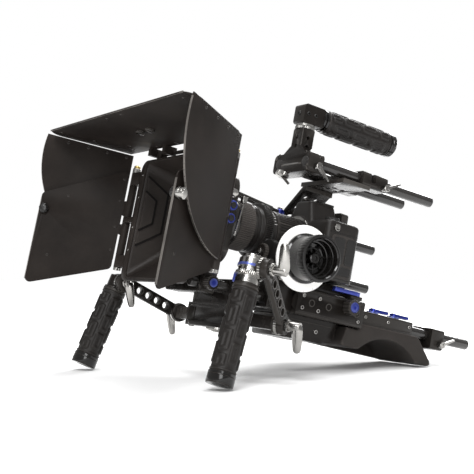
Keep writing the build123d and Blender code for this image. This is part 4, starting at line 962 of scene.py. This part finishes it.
def rod_end_detail():
    """The rear clamp's screws and the rims in the rods' open ends."""
    clamp = Shape().screws(UP, 2.4, 1, *[(x, REAR_CLAMP_Y, 11) for x in ROD_XS])
    button = ((0, 5.5), (0.4, 6.2), (2.2, 6.2), (2.8, 5.4))
    clamp.revolve((0, REAR_CLAMP_Y, 10.5), UP, button, 64, knurl(20, 0.3))
    clamp.finish("rod_end_screws", SILVER)
    rims = Shape()
    ends = [(x, y, z) for x in ROD_XS for y, z in ((261.8, 0), (149.8, TOP_ROD_Z))]
    for end in ends + [(SIDE_ROD_X, 159.8, 60), (SIDE_ROD_X, 159.8, 120)]:
        rims.tube(end, BACK, 0.5, ROD_END_RADIUS, ROD_HOLE_RADIUS, 48, 0.2)
    rims.finish("rod_end_plugs", ANODISED)


def side_detail():
    """The brace arm's ball and strut, and the side plate's and top clamp's screws."""
    ball = Shape()
    bmesh.ops.create_uvsphere(ball.mesh, u_segments=32, v_segments=18, radius=7,
                              matrix=Matrix.Translation(BRACE_BALL))
    ball.finish("brace_ball", BLUE)
    turned("brace_ball_cap", SILVER, "frame", Vector(BRACE_BALL) + UP * 5.5, UP,
           ((-1, 3.4), (0.6, 4.2), (1.8, 4.2), (2.6, 3)))
    start, end = Vector((-54, -172, 140.5)), Vector((-80, -44, 133.5))
    along = end - start
    strut = Shape().slab((start + end) / 2, along, along.cross(UP), along.length, 13, 4.6, 5, UP)
    strut.finish("brace_strut", ANODISED, bevel=0.5)
    spots = ((33, 47), (33, 73), (33, 107), (33, 133), (24, -1), (42, -1))
    places = [(SIDE_PLATE_X, y, z) for y, z in spots]
    Shape().screws(RIGHT, 2.4, 1, *places).finish("side_plate_screws", SILVER)
    places = [(x, y, 198) for x in ROD_XS for y in (20, 48)]
    Shape().screws(UP, 2.2, 0.8, *places).finish("top_clamp_screws", SILVER)


# ---- levers
BLADE_SWING = {("low", "left"): -1, ("low", "right"): -1, ("high", "left"): 1, ("high", "right"): -1}
BLADE_LEAN = 0.35
BLADE_STEPS = 24
BLADE_SECTIONS = ((-3, 4, 3.6), (0, 6.6, 5.6), (6, 7, 5.7), (18, 6.4, 5.2), (28, 5.2, 4.4), (31, 3.8, 3.4),
                  (32, 2, 2))
HIGH_LEVER_REACH = {"left": 24, "right": 15}
LOW_LEVER_REACH = 22


def lever_blade(label, name, start, direction):
    """The die-cast cover of an arm lever's blade: an oval bar that narrows towards its tip."""
    outward = direction if direction.x * SIDES[name] > 0 else -direction
    forward = outward.cross(UP) * SIDES[name]
    reach = ((UP + forward * BLADE_LEAN) * BLADE_SWING[label, name]).normalized()
    across = direction.cross(reach).normalized()
    rows = []
    for along, half_width, half_depth in BLADE_SECTIONS:
        middle = start + reach * along
        rows.append([middle + direction * (half_width * cos(angle)) + across * (half_depth * sin(angle))
                     for angle in even_angles(BLADE_STEPS)])
    body = f"lever_{label}_{name}"
    Shape().skin(rows).finish(f"lever_blade_{label}_{name}", SILVER, body, angle=50)


def clamp_lever_hubs():
    """Turned silver hubs on the three clamp levers."""
    hub = ((0, 4.5), (0.3, 5), (3.2, 5), (3.8, 4.2), (3.8, 2.2), (3, 2))
    for body, place in (("top_block_lever", (46.5, -66, 182)), ("top_clamp_lever", (49.5, 50, 182)),
                        ("rod_end_lever", (49.5, 196, -10))):
        turned(body + "_hub", SILVER, body, place, LEFT, hub)


def arm_lever_detail():
    """Hubs and blades of the four arm levers."""
    for name, side in SIDES.items():
        low, outward = joint(f"handle_arm_{name}")
        high, _ = joint(f"grip_{name}")
        levers = (("low", low, 1, LOW_LEVER_REACH), ("high", high, side, HIGH_LEVER_REACH[name]))
        for label, at, facing, reach in levers:
            direction = outward * facing
            hub = Shape()
            hub.revolve(at + direction * (reach - 0.2), direction,
                        ((-1, 5.2), (0, 5.8), (0.9, 5.4), (1, 2.6), (0.2, 2.4)))
            hub.revolve(at + direction * 5.2, direction, ((0, 6.4), (0.3, 7.2), (3.4, 7.2), (3.8, 6.4)), 96,
                        knurl(28, 0.3))
            hub.finish(f"lever_hub_{label}_{name}", SILVER, f"lever_{label}_{name}")
            lever_blade(label, name, at + direction * (reach - 3), direction)


def shoulder_pad():
    """The moulded foam pad: the CAD solid's shape, softened."""
    data = frame["nodes"]["shoulder_pad"].data.copy()
    data.name = "pad_cushion"
    cushion = new_object("pad_cushion", data)
    remesh = cushion.modifiers.new("even", "REMESH")
    remesh.mode = "VOXEL"
    remesh.voxel_size = 2.2 * MILLIMETRE
    soften = cushion.modifiers.new("soften", "SMOOTH")
    soften.factor = 0.5
    soften.iterations = 7
    data.materials.clear()
    data.materials.append(PAD)
    data.shade_smooth()
    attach(cushion, "pad")
    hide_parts("shoulder_pad")


# ---- stage, light and camera
FLOOR_HALF_SIZE = 6.0
FLOOR_DEPTH = 0.0005
GLOW_STARTS, GLOW_FULL, GLOW = 0.3, 1.5, 0.6
AMBIENT = 0.48
LIGHT_TARGET = Vector((0, 0, 0.2))
LIGHTS = (("key", (1.2, -1.3, 1.7), 0.8, 0.8, 34), ("top", (-0.2, 0.2, 2), 1.3, 1.3, 36),
          ("side", (1.9, -1.3, 0.6), 0.9, 0.9, 16), ("rim", (-1.2, 1.5, 1), 0.8, 1.2, 26))
CAMERA_FROM_RIG = Vector((1.0660, -0.7980, 0.0596))
CAMERA_HEADING = radians(57.69)
CAMERA_RISE = radians(1.71)
CAMERA_ROLL = radians(0.71)
CAMERA_LENS = 74.05
SENSOR_WIDTH = 36


def make_floor():
    """A pale floor that glows further out, to meet the white room without an edge."""
    mesh = bpy.data.meshes.new("floor")
    half = FLOOR_HALF_SIZE
    corners = [(-half, -half, 0), (half, -half, 0), (half, half, 0), (-half, half, 0)]
    mesh.from_pydata(corners, [], [(0, 1, 2, 3)])
    floor = new_object("floor", mesh)
    floor.location.z = -FLOOR_DEPTH
    material, tree, shader = new_material("pale_floor")
    place = add(tree, "TexCoord").outputs["Object"]
    distance = add(tree, "VectorMath", operation="LENGTH", Vector=place).outputs["Value"]
    fill(tree, shader, Base_Color=ramp(tree, noise(tree, 3), (0.93, 0.93, 0.93), (0.97, 0.97, 0.97)),
         Roughness=0.9, Emission_Color=(1, 1, 1, 1),
         Emission_Strength=span(tree, distance, 0, GLOW, GLOW_STARTS, GLOW_FULL))
    mesh.materials.append(material)


def make_room():
    """A white room that lights the rig less than it shows to the camera."""
    world = bpy.data.worlds.new("studio")
    bpy.context.scene.world = world
    world.use_nodes = True
    tree = world.node_tree
    seen = add(tree, "LightPath").outputs["Is Camera Ray"]
    fill(tree, tree.nodes["Background"], Color=(1, 1, 1, 1), Strength=span(tree, seen, AMBIENT, 1))
    bpy.context.scene.view_settings.view_transform = "Standard"


def make_lights():
    """Soft rectangular lamps round the rig."""
    for name, place, width, height, power in LIGHTS:
        data = bpy.data.lights.new(name, "AREA")
        data.shape = "RECTANGLE"
        data.size = width
        data.size_y = height
        data.energy = power
        lamp = new_object(name, data)
        lamp.location = place
        lamp.rotation_euler = (LIGHT_TARGET - Vector(place)).to_track_quat("-Z", "Y").to_euler()


def make_camera():
    """The camera stands low at the rig's front left and looks slightly up."""
    place = RIG.translation + CAMERA_FROM_RIG
    look = Vector((-sin(CAMERA_HEADING) * cos(CAMERA_RISE), cos(CAMERA_HEADING) * cos(CAMERA_RISE),
                   sin(CAMERA_RISE)))
    level = look.cross(UP).normalized()
    upright = level.cross(look)
    right = level * cos(CAMERA_ROLL) + upright * sin(CAMERA_ROLL)
    up = upright * cos(CAMERA_ROLL) - level * sin(CAMERA_ROLL)
    data = bpy.data.cameras.new("camera")
    data.lens = CAMERA_LENS
    data.sensor_width = SENSOR_WIDTH
    data.clip_start = 0.01
    camera = new_object("camera", data)
    camera.matrix_world = Matrix.Translation(place) @ Matrix((right, up, -look)).transposed().to_4x4()
    bpy.context.scene.camera = camera


# ---- the whole scene
dress_nodes()
for handle in SIDES:
    lower_grip(handle)
left_drum()
rosettes()
arm_trim()
top_handle_detail()
top_block_detail()
for flag, flag_side in SIDES.items():
    side_flag_trim(flag, flag_side)
    flag_lock_trim(flag, flag_side)
top_flag_trim()
for wing, wing_side in SIDES.items():
    wing_trim(wing, wing_side)
for wall, wall_side in SIDES.items():
    hood_brackets(wall, wall_side)
hood_front()
stage_collar()
stage_trim()
lens_detail()
follow_focus_detail()
camera_panels()
camera_buttons()
mode_dial_detail()
camera_fittings()
base_detail()
base_fittings()
bracket_detail()
carrier_detail()
rod_end_detail()
side_detail()
clamp_lever_hubs()
arm_lever_detail()
shoulder_pad()
make_floor()
make_room()
make_lights()
make_camera()
